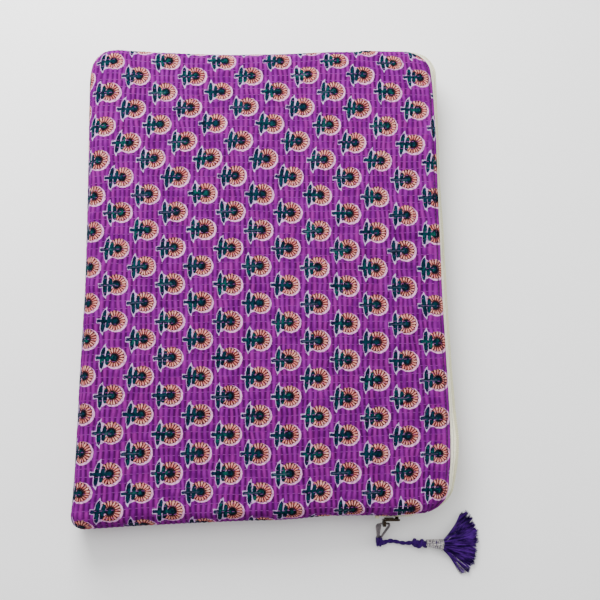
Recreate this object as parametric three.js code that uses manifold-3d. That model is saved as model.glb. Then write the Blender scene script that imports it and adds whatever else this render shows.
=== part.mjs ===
// A quilted cloth laptop sleeve. A zip runs along one long side and round both corners, and a tassel
// hangs from its slider. Units are millimetres and +Z is up.
// The sleeve lies flat, filled to its working thickness, with the zip undone. X runs from the closed long
// side to the mouth, Y runs along the mouth, and the origin is the centre of the flat underside.

import * as THREE from 'three';
import { mergeVertices } from 'three/addons/utils/BufferGeometryUtils.js';
import Module from 'manifold-3d';

const wasm = await Module();
wasm.setup();

// ---- Driving dimensions ----

const GAP = 0.3;              // clearance between neighbouring pieces

// Sleeve
const WIDTH = 280;            // X, closed side to the mouth edge of the panels
const LENGTH = 378;           // Y
const HEIGHT = 33;            // Z, over both panels
const MID = HEIGHT / 2;       // height of the side seam and of the zip's legs
const RIM_REACH = 10;         // how far in from the outline a panel's rounded rim reaches
const CLOSED_CORNER = 12;     // corner radius at the closed side
const MOUTH_CORNER = 20;      // corner radius at the mouth
const OUTER_CLOTH = 1.0;
const BATTING = 3.0;
const LINING = 0.8;
const BATTING_DEPTH = OUTER_CLOTH + GAP;
const LINING_DEPTH = BATTING_DEPTH + BATTING + GAP;
const WALL = LINING_DEPTH + LINING;

// How far the rim turns over, in degrees from level: at the closed seam, on the zip's legs, at the mouth
const CLOSED_TURN = 89.2;
const LEG_TURN = 60;
const MOUTH_TURN = 25;
const PARTING_START = 76;     // X where the two rims leave the side seam
const PARTING_LENGTH = 10;
const LIP_HINGE_X = 82;       // X of the line that the front panel's mouth end bends about
const BINDING_WIDTH = 3;
const BINDING_THICKNESS = 1.2;
const STITCH_INSET = 3;       // topstitching, in from the mouth edge
const STITCH_WIDTH = 0.8;
const STITCH_THICKNESS = 0.35;

// Zip
const ZIP_START = 87;         // X of the ends of the zip's legs, clear of the lip as it lifts
const LEG_END = 119.7;        // X where a leg's straight part ends
const TAPE_DEPTH = 1.2;       // depth of the tape below the panel's face
const TAPE_THICKNESS = 0.8;
const TAPE_START = 0.5;       // tape's distance from the panel's cut edge
const MOUTH_TAPE = 4.2;       // width of the tape that shows along the mouth
const LEG_TILT = 90;          // the tape hangs straight down on the legs
const MOUTH_TILT = 25;        // and slopes a little along the mouth
const COIL_WIDTH = 2.6;
const COIL_THICKNESS = 2.4;
const COIL_OFFSET = 2.6;      // coil's centre from the zip's middle line, on the legs
const TRACK_Y = LENGTH / 2 - TAPE_DEPTH * Math.sin(THREE.MathUtils.degToRad(LEG_TURN));
const STOP_X = 85;            // centre of an end stop

// Slider, about its own centre
const SLIDER_X = 95.7;
const SLIDER_LENGTH = 13;
const SLIDER_HALF_WIDTH = 5.4;
const SLIDER_NOSE_HALF_WIDTH = 4.9;
const PLATE_INNER_FACE = 1.7;
const PLATE = 1.2;
const RIM_WALL = 1.0;
const TAPE_SLOT = 1.6;
const POST_WIDTH = 1.8;
const CROWN_X = -5.3;
const CROWN_WIDTH = 2.2;
const CROWN_BAR = 1.5;        // pull's bar, out from the crown's foot

// Pull, tassel and its cord
const PULL_LENGTH = 19.5;
const PULL_DROP = 42;         // degrees that the resting pull slopes down
const CORD_RADIUS = 1.75;
const HITCH = new THREE.Vector3(88.3, -210.3, 3.4);
const HITCH_RADII = new THREE.Vector3(3.1, 2.2, 2.6);
const CORD_ROUTE = [
  [91.8, -210.2, 3.2],
  [94.5, -208.8, 2.6],
  [98.0, -207.6, 2.2],
  [102.0, -207.3, 2.1],
  [106.0, -207.8, 2.4],
  [109.5, -208.4, 3.1],
  [111.9, -208.8, 3.9],
];
const KNOT_START = new THREE.Vector3(112.8, -208.8, 4.3);
const KNOT_END = new THREE.Vector3(123.0, -209.8, 4.3);
const NECK_START = new THREE.Vector3(123.4, -208.4, 4.4);
const NECK_END = new THREE.Vector3(136.6, -210.6, 4.4);
const SKIRT_CENTRE = new THREE.Vector3(133.6, -210.1, 0);
const SKIRT_INNER = 5;
const SKIRT_SPREAD = 56;      // degrees to each side of +X
const SKIRT_FLOOR = 0.4;

// ---- Materials ----

const paint = (color, roughness, metalness = 0) =>
  new THREE.MeshStandardMaterial({ color, roughness, metalness });
const printedCotton = () => paint(0x8a3e92, 0.9);
const batting = () => paint(0xf2efe6, 1.0);
const liningCloth = () => paint(0xe7dfcc, 0.95);
const zipTape = () => paint(0xd6d3c4, 0.85);
const zipCoil = () => paint(0xe2dfd0, 0.5);
const bronze = () => paint(0x3a2f27, 0.35, 0.9);
const steel = () => paint(0x5d565b, 0.3, 0.9);
const violetThread = () => paint(0x1f0f4d, 0.6);
const silverThread = () => paint(0xb2aca9, 0.35, 0.5);

// ---- Helpers ----

const rad = THREE.MathUtils.degToRad;
const lerp = THREE.MathUtils.lerp;
const smooth = (t) => THREE.MathUtils.smoothstep(t, 0, 1);

// A closed solid through rings of points. 'plan' fills the two end rings as plan outlines, 'fan' as
// small convex sections, and 'loop' joins the last ring to the first.
function loft(rings, ends) {
  const count = rings[0].length;
  const positions = rings.flat().flatMap((p) => [p.x, p.y, p.z]);
  const index = [];
  const spans = ends === 'loop' ? rings.length : rings.length - 1;
  for (let r = 0; r < spans; r++) {
    const next = (r + 1) % rings.length;
    for (let i = 0; i < count; i++) {
      const j = (i + 1) % count;
      const [a, b, c, d] = [r * count + i, r * count + j, next * count + j, next * count + i];
      index.push(a, b, c, a, c, d);
    }
  }
  if (ends === 'plan') {
    for (const [ring, start, flip] of [[0, 0, true], [rings.length - 1, (rings.length - 1) * count, false]]) {
      const contour = rings[ring].map((p) => new THREE.Vector2(p.x, p.y));
      for (const [a, b, c] of THREE.ShapeUtils.triangulateShape(contour, [])) {
        index.push(...(flip ? [start + a, start + c, start + b] : [start + a, start + b, start + c]));
      }
    }
  }
  if (ends === 'fan') {
    const last = (rings.length - 1) * count;
    for (let i = 1; i < count - 1; i++) {
      index.push(0, i + 1, i);
      index.push(last, last + i, last + i + 1);
    }
  }
  const geometry = new THREE.BufferGeometry();
  geometry.setAttribute('position', new THREE.Float32BufferAttribute(positions, 3));
  geometry.setIndex(index);
  return facingOut(geometry);
}

function signedVolume(geometry) {
  const [a, b, c] = [new THREE.Vector3(), new THREE.Vector3(), new THREE.Vector3()];
  const position = geometry.attributes.position;
  const index = geometry.index.array;
  let volume = 0;
  for (let i = 0; i < index.length; i += 3) {
    a.fromBufferAttribute(position, index[i]);
    b.fromBufferAttribute(position, index[i + 1]);
    c.fromBufferAttribute(position, index[i + 2]);
    volume += a.dot(b.cross(c)) / 6;
  }
  return volume;
}

function facingOut(geometry) {
  if (signedVolume(geometry) < 0) {
    const index = geometry.index.array;
    for (let i = 0; i < index.length; i += 3) {
      [index[i], index[i + 1]] = [index[i + 1], index[i]];
    }
  }
  return geometry;
}

// The same solid turned upside down about the sleeve's middle height
function mirrored(geometry) {
  const copy = geometry.clone();
  copy.scale(1, 1, -1);
  copy.translate(0, 0, HEIGHT);
  return facingOut(copy);
}

function toSolid(geometry) {
  const bare = geometry.clone();
  bare.deleteAttribute('normal');
  bare.deleteAttribute('uv');
  const merged = mergeVertices(bare, 1e-4);
  return new wasm.Manifold(new wasm.Mesh({
    numProp: 3,
    vertProperties: new Float32Array(merged.attributes.position.array),
    triVerts: new Uint32Array(merged.index.array),
  }));
}

function toGeometry(solid) {
  const mesh = solid.getMesh();
  const geometry = new THREE.BufferGeometry();
  geometry.setAttribute('position', new THREE.BufferAttribute(new Float32Array(mesh.vertProperties), 3));
  geometry.setIndex(new THREE.BufferAttribute(new Uint32Array(mesh.triVerts), 1));
  return geometry;
}

function box(x, y, z, cx = 0, cy = 0, cz = 0) {
  const geometry = new THREE.BoxGeometry(x, y, z);
  geometry.translate(cx, cy, cz);
  return geometry;
}

function mesh(name, geometry, material) {
  const made = new THREE.Mesh(geometry, material);
  made.name = name;
  return made;
}

// ---- Outline of the sleeve ----

// A station is a plan point on the outline with its outward normal. open says how far the two rims have
// parted for the zip, and spread how far they have opened out from the legs' shape to the mouth's.
function edgeStation(x, side) {
  const open = smooth((x - PARTING_START) / PARTING_LENGTH);
  return { x, y: side * LENGTH / 2, nx: 0, ny: side, open, spread: 0 };
}

function cornerStations(cx, cy, radius, startDeg, steps, look) {
  return Array.from({ length: steps + 1 }, (_, k) => {
    const angle = rad(startDeg + 90 * k / steps);
    const [nx, ny] = [Math.cos(angle), Math.sin(angle)];
    return { x: cx + radius * nx, y: cy + radius * ny, nx, ny, ...look(k / steps) };
  });
}

function mouthCorner(side) {
  const [cx, cy] = [WIDTH / 2 - MOUTH_CORNER, side * (LENGTH / 2 - MOUTH_CORNER)];
  const look = (t) => ({ open: 1, spread: smooth(side < 0 ? t : 1 - t) });
  return cornerStations(cx, cy, MOUTH_CORNER, side < 0 ? -90 : 0, 5, look);
}

function closedCorner(side) {
  const [cx, cy] = [CLOSED_CORNER - WIDTH / 2, side * (LENGTH / 2 - CLOSED_CORNER)];
  return cornerStations(cx, cy, CLOSED_CORNER, side > 0 ? 90 : 180, 4, () => ({ open: 0, spread: 0 }));
}

function mouthStations() {
  const half = LENGTH / 2 - MOUTH_CORNER;
  return [-0.66, -0.33, 0, 0.33, 0.66].map((t) => (
    { x: WIDTH / 2, y: t * half, nx: 1, ny: 0, open: 1, spread: 1 }
  ));
}

const CLOSED_STOPS = [-60, 10, 65];
const PARTING_STOPS = [0, 0.25, 0.5, 0.75, 1].map((t) => PARTING_START + t * PARTING_LENGTH);
const SIDE_STOPS = [...CLOSED_STOPS, ...PARTING_STOPS, 97, 108];
const LEFT_EDGE = [{ x: -WIDTH / 2, y: 0, nx: -1, ny: 0, open: 0, spread: 0 }];
const OUTLINE = [
  ...SIDE_STOPS.map((x) => edgeStation(x, -1)),
  ...mouthCorner(-1),
  ...mouthStations(),
  ...mouthCorner(1),
  ...SIDE_STOPS.toReversed().map((x) => edgeStation(x, 1)),
  ...closedCorner(1),
  ...LEFT_EDGE,
  ...closedCorner(-1),
];

const rimTurn = (s) => rad(lerp(lerp(CLOSED_TURN, LEG_TURN, s.open), MOUTH_TURN, s.spread));

// A point of the front panel at a depth below its face, where its rim has turned by an angle
function wallPoint(s, depth, turn) {
  const inset = RIM_REACH * Math.sin(rimTurn(s)) - (RIM_REACH - depth) * Math.sin(turn);
  return new THREE.Vector3(s.x - s.nx * inset, s.y - s.ny * inset, MID + (MID - depth) * Math.cos(turn));
}

// ---- Panels: each is outer cloth, batting and lining, one inside the other ----

function frontLayer(depth, thickness) {
  const RIM_STEPS = 4;
  const rows = [];
  for (let k = 0; k <= RIM_STEPS; k++) {
    rows.push(OUTLINE.map((s) => wallPoint(s, depth, rimTurn(s) * k / RIM_STEPS)));
  }
  for (let k = RIM_STEPS; k >= 0; k--) {
    rows.push(OUTLINE.map((s) => wallPoint(s, depth + thickness, rimTurn(s) * k / RIM_STEPS)));
  }
  return loft(rows, 'plan');
}

// The front panel bends along a line near the mouth, and each of its layers is cut there
function cutAtHinge(layer) {
  const reach = WIDTH;
  const tall = 4 * HEIGHT;
  const gap = toSolid(box(GAP, 2 * LENGTH, tall, LIP_HINGE_X));
  const mouthEnd = toSolid(box(reach, 2 * LENGTH, tall, LIP_HINGE_X + reach / 2));
  const whole = toSolid(layer).subtract(gap);
  return [toGeometry(whole.subtract(mouthEnd)), toGeometry(whole.intersect(mouthEnd))];
}

function panels() {
  const layers = [
    ['outer_panel', 0, OUTER_CLOTH, printedCotton],
    ['batting', BATTING_DEPTH, BATTING, batting],
    ['lining', LINING_DEPTH, LINING, liningCloth],
  ];
  const made = [];
  for (const [name, depth, thickness, material] of layers) {
    const layer = frontLayer(depth, thickness);
    const [body, lip] = cutAtHinge(layer);
    made.push(mesh(`front_${name}`, body, material()));
    made.push(mesh(`front_${name}_lip`, lip, material()));
    made.push(mesh(`back_${name}`, mirrored(layer), material()));
  }
  return made;
}

// Bias binding over the seam allowance inside the three closed sides
function seamBinding() {
  const closed = [
    ...CLOSED_STOPS.toReversed().map((x) => edgeStation(x, -1)),
    ...closedCorner(-1).toReversed(),
    ...LEFT_EDGE,
    ...closedCorner(1).toReversed(),
    ...CLOSED_STOPS.map((x) => edgeStation(x, 1)),
  ];
  const outer = WALL + GAP;
  const half = BINDING_THICKNESS / 2;
  const corners = [[outer, -half], [outer, half], [outer + BINDING_WIDTH, half], [outer + BINDING_WIDTH, -half]];
  const rings = closed.map((s) => corners.map(([inset, up]) => (
    new THREE.Vector3(s.x - s.nx * inset, s.y - s.ny * inset, MID + up)
  )));
  return mesh('seam_binding', loft(rings, 'fan'), liningCloth());
}

// ---- Zip tapes and coils ----

// The tape's edge at the panel, the way it hangs, the way its face looks, and its reach to the coil's middle
function tapeFrame(s) {
  const tilt = rad(lerp(LEG_TILT, MOUTH_TILT, s.spread));
  const edge = wallPoint(s, TAPE_DEPTH, rimTurn(s));
  const along = new THREE.Vector3(s.nx * Math.cos(tilt), s.ny * Math.cos(tilt), -Math.sin(tilt));
  const face = new THREE.Vector3(s.nx * Math.sin(tilt), s.ny * Math.sin(tilt), Math.cos(tilt));
  const legReach = edge.z - MID - COIL_OFFSET;
  const mouthReach = TAPE_START + MOUTH_TAPE + GAP + COIL_WIDTH / 2;
  return { edge, along, face, reach: lerp(legReach, mouthReach, s.spread) };
}

function strip(stations, near, far, thickness) {
  const rings = stations.map((s) => {
    const f = tapeFrame(s);
    const point = (distance, side) => (
      f.edge.clone().addScaledVector(f.along, distance).addScaledVector(f.face, side * thickness / 2)
    );
    return [point(near(f), -1), point(near(f), 1), point(far(f), 1), point(far(f), -1)];
  });
  return loft(rings, 'fan');
}

const tapeStrip = (stations) => (
  strip(stations, () => TAPE_START, (f) => f.reach - COIL_WIDTH / 2 - GAP, TAPE_THICKNESS)
);
const coilStrip = (stations) => (
  strip(stations, (f) => f.reach - COIL_WIDTH / 2, (f) => f.reach + COIL_WIDTH / 2, COIL_THICKNESS)
);

// The mouth's front tape bends with the lip. The straight legs stay beside the slider.
function zip() {
  const leg = (side) => [ZIP_START, 90, 97, 108, LEG_END].map((x) => edgeStation(x, side));
  const round = [...mouthCorner(-1), ...mouthStations(), ...mouthCorner(1)];
  const whole = [...leg(-1), ...round, ...leg(1).toReversed()];
  const made = [
    mesh('zip_tape_front', tapeStrip(round), zipTape()),
    mesh('zip_coil_front', coilStrip(round), zipCoil()),
    mesh('zip_tape_back', mirrored(tapeStrip(whole)), zipTape()),
    mesh('zip_coil_back', mirrored(coilStrip(whole)), zipCoil()),
  ];
  for (const [place, side] of [['slider_end', -1], ['far_end', 1]]) {
    made.push(mesh(`zip_tape_leg_${place}`, tapeStrip(leg(side)), zipTape()));
    made.push(mesh(`zip_coil_leg_${place}`, coilStrip(leg(side)), zipCoil()));
    const stop = mesh(`zip_stop_${place}`, box(2.8, 2.8, 7.2), zipTape());
    stop.position.set(STOP_X, side * TRACK_Y, MID);
    made.push(stop);
  }
  return made;
}

// The row of stitches that holds the tape, on the front panel just inside the mouth
function frontTopstitch() {
  const start = [88, 97, 108];
  const stations = [
    ...start.map((x) => edgeStation(x, -1)),
    ...mouthCorner(-1),
    ...mouthStations(),
    ...mouthCorner(1),
    ...start.toReversed().map((x) => edgeStation(x, 1)),
  ];
  const rings = stations.map((s) => {
    const turnAt = (inset) => Math.asin(Math.sin(rimTurn(s)) - inset / RIM_REACH);
    const point = (inset, height) => wallPoint(s, -height, turnAt(inset));
    const [near, far] = [STITCH_INSET - STITCH_WIDTH / 2, STITCH_INSET + STITCH_WIDTH / 2];
    const top = GAP + STITCH_THICKNESS;
    return [point(near, GAP), point(near, top), point(far, top), point(far, GAP)];
  });
  return mesh('front_topstitch', loft(rings, 'fan'), printedCotton());
}

// ---- Slider ----

// Two plates joined by a post, with rims that leave a slot for each tape
function sliderBody() {
  const half = SLIDER_LENGTH / 2;
  const shape = new THREE.Shape();
  shape.moveTo(-half, -SLIDER_NOSE_HALF_WIDTH + 1.5);
  shape.lineTo(-half + 1.5, -SLIDER_NOSE_HALF_WIDTH);
  shape.lineTo(half - 3, -SLIDER_HALF_WIDTH);
  shape.quadraticCurveTo(half, -SLIDER_HALF_WIDTH, half, -SLIDER_HALF_WIDTH + 3);
  shape.lineTo(half, SLIDER_HALF_WIDTH - 3);
  shape.quadraticCurveTo(half, SLIDER_HALF_WIDTH, half - 3, SLIDER_HALF_WIDTH);
  shape.lineTo(-half + 1.5, SLIDER_NOSE_HALF_WIDTH);
  shape.lineTo(-half, SLIDER_NOSE_HALF_WIDTH - 1.5);
  const plate = new THREE.ExtrudeGeometry(shape, { depth: PLATE, bevelEnabled: false, curveSegments: 4 });
  plate.rotateX(Math.PI / 2);
  const outer = plate.clone().translate(0, -PLATE_INNER_FACE, 0);
  const inner = plate.clone().translate(0, PLATE_INNER_FACE + PLATE, 0);
  let body = toSolid(outer).add(toSolid(inner));
  const bite = 0.2;
  const rimHeight = PLATE_INNER_FACE - TAPE_SLOT / 2 + bite;
  const rimLength = SLIDER_LENGTH - 6;
  for (const side of [-1, 1]) {
    for (const up of [-1, 1]) {
      const y = side * (TAPE_SLOT / 2 + rimHeight / 2);
      const z = up * (SLIDER_NOSE_HALF_WIDTH - RIM_WALL / 2 + 0.1);
      body = body.add(toSolid(box(rimLength, rimHeight, RIM_WALL - 0.2, -1, y, z)));
    }
  }
  const post = box(2.4, 2 * (PLATE_INNER_FACE + bite), POST_WIDTH, half - 2.2);
  return mesh('slider_body', toGeometry(body.add(toSolid(post))), bronze());
}

// The arch on the slider's outer plate that the pull's bar runs through
function sliderCrown() {
  const points = [
    [-3.2, 0], [-3.2, 2.8], [-2.2, 3.9], [2.2, 3.9], [3.2, 2.8], [3.2, 0],
    [2.2, 0], [2.2, 2.3], [1.6, 3.0], [-1.6, 3.0], [-2.2, 2.3], [-2.2, 0],
  ];
  const shape = new THREE.Shape(points.map(([a, b]) => new THREE.Vector2(a, b)));
  const arch = new THREE.ExtrudeGeometry(shape, { depth: CROWN_WIDTH, bevelEnabled: false });
  const basis = new THREE.Matrix4().makeBasis(
    new THREE.Vector3(0, 0, 1), new THREE.Vector3(0, -1, 0), new THREE.Vector3(1, 0, 0),
  );
  arch.applyMatrix4(basis);
  arch.translate(CROWN_X - CROWN_WIDTH / 2, -PLATE_INNER_FACE - PLATE - GAP, 0);
  return mesh('slider_crown', arch, bronze());
}

// ---- Pull: a teardrop loop of flat strip, twisted so that one leg shows its face ----

function pullLoop() {
  // Each stop is across (X), along the pull, the strip's half width, and its twist in quarter turns
  const stops = [
    [0.0, 0.0, 0.9, 0.5],
    [3.6, 0.9, 1.2, 0.0],
    [3.9, 2.8, 1.4, 0.0],
    [1.3, 9.5, 1.4, 0.0],
    [-1.4, 17.0, 1.2, 0.0],
    [-2.5, 19.5, 1.0, 0.4],
    [-3.4, 18.2, 1.1, 1.0],
    [-3.7, 10.0, 1.7, 1.0],
    [-3.8, 2.8, 2.2, 1.0],
    [-2.9, 0.7, 1.5, 0.8],
  ];
  const path = new THREE.CatmullRomCurve3(stops.map(([a, b]) => new THREE.Vector3(a, b, 0)), true);
  const looks = new THREE.CatmullRomCurve3(stops.map(([, , w, q]) => new THREE.Vector3(w, q, 0)), true);
  const STEPS = 30;
  const halfThickness = 0.55;
  const rings = Array.from({ length: STEPS }, (_, k) => {
    const t = k / STEPS;
    const centre = path.getPoint(t);
    const tangent = path.getTangent(t);
    const look = looks.getPoint(t);
    const across = new THREE.Vector3(tangent.y, -tangent.x, 0);
    const up = new THREE.Vector3(0, 0, 1);
    const twist = look.y * Math.PI / 2;
    const wide = up.clone().multiplyScalar(Math.cos(twist)).addScaledVector(across, Math.sin(twist));
    const thin = across.clone().multiplyScalar(Math.cos(twist)).addScaledVector(up, -Math.sin(twist));
    return [[-1, -1], [1, -1], [1, 1], [-1, 1]].map(([a, b]) => (
      centre.clone().addScaledVector(wide, a * look.x).addScaledVector(thin, b * halfThickness)
    ));
  });
  const loop = loft(rings, 'loop');
  loop.rotateZ(Math.PI);
  loop.scale(-1, 1, 1);
  return mesh('pull_loop', facingOut(loop), steel());
}

// ---- Tassel ----

// A turned shape whose axis runs from one point to another. Its profile is [share of length, radius].
function turnedBetween(start, end, profile) {
  const span = end.clone().sub(start);
  const points = profile.map(([t, r]) => new THREE.Vector2(r, t * span.length()));
  const closed = [new THREE.Vector2(0, points[0].y), ...points, new THREE.Vector2(0, points.at(-1).y)];
  const geometry = new THREE.LatheGeometry(closed, 12);
  const turn = new THREE.Quaternion().setFromUnitVectors(new THREE.Vector3(0, 1, 0), span.normalize());
  geometry.applyQuaternion(turn);
  geometry.translate(start.x, start.y, start.z);
  return toGeometry(toSolid(geometry));
}

function tasselSkirt() {
  const STEPS = 14;
  const rings = Array.from({ length: STEPS + 1 }, (_, k) => {
    const heading = rad(lerp(-SKIRT_SPREAD, SKIRT_SPREAD, k / STEPS));
    const reach = 26.5 + 3.5 * Math.sin(heading);
    const thin = Math.abs(heading) / rad(SKIRT_SPREAD);
    const height = lerp(8, 5.5, thin * thin);
    const profile = [
      [SKIRT_INNER, 0], [reach, 0], [reach, 0.45 * height], [0.7 * reach, 0.9 * height],
      [SKIRT_INNER, height],
    ];
    return profile.map(([r, z]) => new THREE.Vector3(
      SKIRT_CENTRE.x + r * Math.cos(heading),
      SKIRT_CENTRE.y + r * Math.sin(heading),
      SKIRT_FLOOR + z,
    ));
  });
  return mesh('tassel_skirt', loft(rings, 'fan'), violetThread());
}

function tasselCord() {
  const route = new THREE.CatmullRomCurve3(CORD_ROUTE.map((p) => new THREE.Vector3(...p)));
  const section = new THREE.Shape();
  section.absarc(0, 0, CORD_RADIUS, 0, 2 * Math.PI);
  const options = { steps: 8, extrudePath: route, curveSegments: 4, bevelEnabled: false };
  return mesh('tassel_cord', new THREE.ExtrudeGeometry(section, options), violetThread());
}

function tassel() {
  const hitch = mesh('cord_hitch', new THREE.SphereGeometry(1, 12, 8), violetThread());
  hitch.scale.copy(HITCH_RADII);
  hitch.position.copy(HITCH);
  const knotProfile = [[0, 2.0], [0.14, 3.3], [0.42, 3.9], [0.68, 3.7], [0.88, 3.0], [1, 2.0]];
  const knot = mesh('tassel_knot', turnedBetween(KNOT_START, KNOT_END, knotProfile), violetThread());
  const neckProfile = [[0, 2.4], [0.35, 2.8], [0.75, 3.5], [1, 4.0]];
  const neck = mesh('tassel_neck', turnedBetween(NECK_START, NECK_END, neckProfile), silverThread());
  return [hitch, tasselCord(), knot, neck, tasselSkirt()];
}

// ---- Assembly ----

const group = new THREE.Group();
group.add(...panels(), seamBinding(), ...zip(), frontTopstitch());

const slider = new THREE.Group();
slider.position.set(SLIDER_X, -TRACK_Y, MID);
slider.add(sliderBody(), sliderCrown());
group.add(slider);

const pull = new THREE.Group();
pull.position.set(CROWN_X, -PLATE_INNER_FACE - PLATE - GAP - CROWN_BAR, 0);
pull.rotation.x = rad(PULL_DROP);
pull.add(pullLoop());
slider.add(pull);

group.add(...tassel());

export default group;
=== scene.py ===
import math

import bpy
import numpy as np
from mathutils import Matrix, Quaternion, Vector


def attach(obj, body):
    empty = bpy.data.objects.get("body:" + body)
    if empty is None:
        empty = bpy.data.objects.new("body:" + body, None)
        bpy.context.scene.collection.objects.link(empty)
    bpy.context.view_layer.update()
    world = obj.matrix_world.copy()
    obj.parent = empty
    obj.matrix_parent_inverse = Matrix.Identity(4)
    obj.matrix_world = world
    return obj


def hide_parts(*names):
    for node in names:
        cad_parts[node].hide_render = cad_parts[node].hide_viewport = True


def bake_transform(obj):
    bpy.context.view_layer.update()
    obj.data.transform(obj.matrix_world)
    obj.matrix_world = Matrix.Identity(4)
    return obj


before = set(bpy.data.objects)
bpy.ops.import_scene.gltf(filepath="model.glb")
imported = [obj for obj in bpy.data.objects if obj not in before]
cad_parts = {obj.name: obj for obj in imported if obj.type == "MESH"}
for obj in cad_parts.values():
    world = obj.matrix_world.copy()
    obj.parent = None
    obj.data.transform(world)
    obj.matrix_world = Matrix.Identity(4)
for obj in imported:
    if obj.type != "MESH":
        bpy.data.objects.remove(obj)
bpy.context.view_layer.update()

# ---- The sleeve's dimensions, in millimetres ----

WIDTH, LENGTH, HEIGHT = 280.0, 378.0, 33.0
MID = HEIGHT / 2
HALF_X, HALF_Y = WIDTH / 2, LENGTH / 2
RIM = 10.0                      # how far in the rounded rim reaches
CLOSED_CORNER, MOUTH_CORNER = 12.0, 20.0
CLOSED_TURN, LEG_TURN, MOUTH_TURN = (math.radians(a) for a in (89.2, 60.0, 25.0))
PARTING_START, PARTING_LENGTH = 76.0, 10.0
CLOSED_X, CLOSED_Y = -HALF_X + CLOSED_CORNER, HALF_Y - CLOSED_CORNER
MOUTH_X, MOUTH_Y = HALF_X - MOUTH_CORNER, HALF_Y - MOUTH_CORNER
SKIN = 4.3                      # outer cloth and padding
HEM = 3.0                       # from the mouth's edge to its topstitching


def smooth(t):
    t = np.clip(t, 0, 1)
    return t * t * (3 - 2 * t)


def vec(*components):
    """Vectors from their components, each an array or one number for all."""
    return np.stack(np.broadcast_arrays(*components), -1)


# ---- Camera ----

turn = Vector((0.185586, -0.042726, -0.011741))
camera = bpy.data.objects.new("camera", bpy.data.cameras.new("camera"))
camera.data.sensor_width = 36
camera.data.lens = 48
camera.data.clip_start = 0.05
camera.data.clip_end = 10
aim = Quaternion(turn.normalized(), turn.length).to_matrix().to_4x4()
camera.matrix_world = Matrix.Translation((0.00205, -0.13734, 0.63676)) @ aim
bpy.context.scene.collection.objects.link(camera)
bpy.context.scene.camera = camera

# ---- Small smooth noise in numpy, seeded ----


def wave_noise(x, y, wavelength, seed, count=7):
    """A sum of sine waves in random directions, about -1 to 1."""
    r = np.random.default_rng(seed)
    total = np.zeros(np.broadcast(x, y).shape)
    for _ in range(count):
        heading = r.uniform(0, math.tau)
        k = math.tau / (wavelength * r.uniform(0.7, 1.5))
        total += np.sin(k * (x * math.cos(heading) + y * math.sin(heading)) + r.uniform(0, math.tau))
    return total / math.sqrt(count) / 1.3


def hashed(i, j, seed):
    """A repeatable number from 0 to 1 for each pair of whole numbers."""
    h = np.sin(np.asarray(i, float) * 127.1 + np.asarray(j, float) * 311.7 + seed * 74.7) * 43758.5453
    return h - np.floor(h)


# ---- The cloth: from flat cloth coordinates to its place on the sleeve ----

RIM_TURNS = np.linspace(0, math.pi / 2, 2001)
_speed = np.hypot(RIM * np.cos(RIM_TURNS), MID * np.sin(RIM_TURNS))
RIM_ARCS = np.concatenate([[0], np.cumsum((_speed[1:] + _speed[:-1]) / 2 * np.diff(RIM_TURNS))])


def arc_of(turned):
    return np.interp(turned, RIM_TURNS, RIM_ARCS)


def rim_turn(x, round_the_corner):
    """How far the rim turns over. round_the_corner is 0 at a leg's end and 1 on the mouth."""
    along = CLOSED_TURN + (LEG_TURN - CLOSED_TURN) * smooth((x - PARTING_START) / PARTING_LENGTH)
    return along + (MOUTH_TURN - LEG_TURN) * smooth(round_the_corner)


def rim_shape(base_x, limit_y, out_x, out_y):
    """The level width beyond the anchor, the cloth's full extent from there, and the rim's turn, in the
    direction out_x, out_y. The corners' radius counts out across X; between them the edge is at HALF_Y."""
    heading = np.arctan2(np.abs(out_y), np.abs(out_x) + 1e-12)
    turned = rim_turn(base_x, np.where(out_x > 1e-9, 1 - heading / (math.pi / 2), 0.0))
    radius = np.where(base_x > 0, MOUTH_CORNER, CLOSED_CORNER)
    flat = np.where(np.abs(out_x) > 1e-9, radius, HALF_Y - limit_y) - RIM * np.sin(turned)
    return flat, flat + arc_of(turned), turned


def length_and_direction(x, y):
    length = np.hypot(x, y)
    return length, *(np.where(length > 1e-9, v / np.maximum(length, 1e-9), 0.0) for v in (x, y))


# How far each side's edge wanders inwards (+) or outwards (-) from the pattern: place along it, distance
LEFT_EDGE = (
    (-189, -2.8), (-180, -2.4), (-150, -1.1), (-117, -0.35), (-88, 0.0), (-57, 0.85), (-42, 1.3), (-11, 2.0),
    (20, 1.9), (50, 1.6), (110, 0.9), (160, 0.1), (189, 0.3),
)
RIGHT_EDGE = (
    (-189, 2.2), (-175, 2.4), (-161, 1.5), (-150, 0.3), (-130, -0.8), (-108, -0.9), (-87, -0.7), (-60, -0.2),
    (-20, 0.2), (50, -0.3), (110, -0.9), (150, -0.4), (170, 0.5), (189, 1.2),
)
FAR_EDGE = (
    (-140, 2.4), (-126, 0.6), (-117, 0.3), (-107, 1.4), (-84, 3.3), (-52, 4.1), (-26, 4.4), (16, 3.8),
    (58, 1.5), (75, 1.1), (108, 1.6), (125, 1.4), (140, 2.0),
)
NEAR_EDGE = (
    (-140, -3.4), (-128, -3.3), (-115, -3.0), (-100, -2.2), (-57, -0.7), (-12, 0.3), (12, 0.3), (27, 1.1),
    (38, 2.1), (50, 2.6), (66, 2.6), (80, 2.3), (104, 2.7), (118, 3.5), (130, 3.6), (140, 3.0),
)
# Corners rounder or squarer than the pattern: where, how far the bulge reaches, how far it goes in
CORNERS = ((-140, 189, 10, 2.8), (140, 189, 14, 1.3), (140, -189, 13, 0.9), (-140, -189, 9, -0.9))


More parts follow.
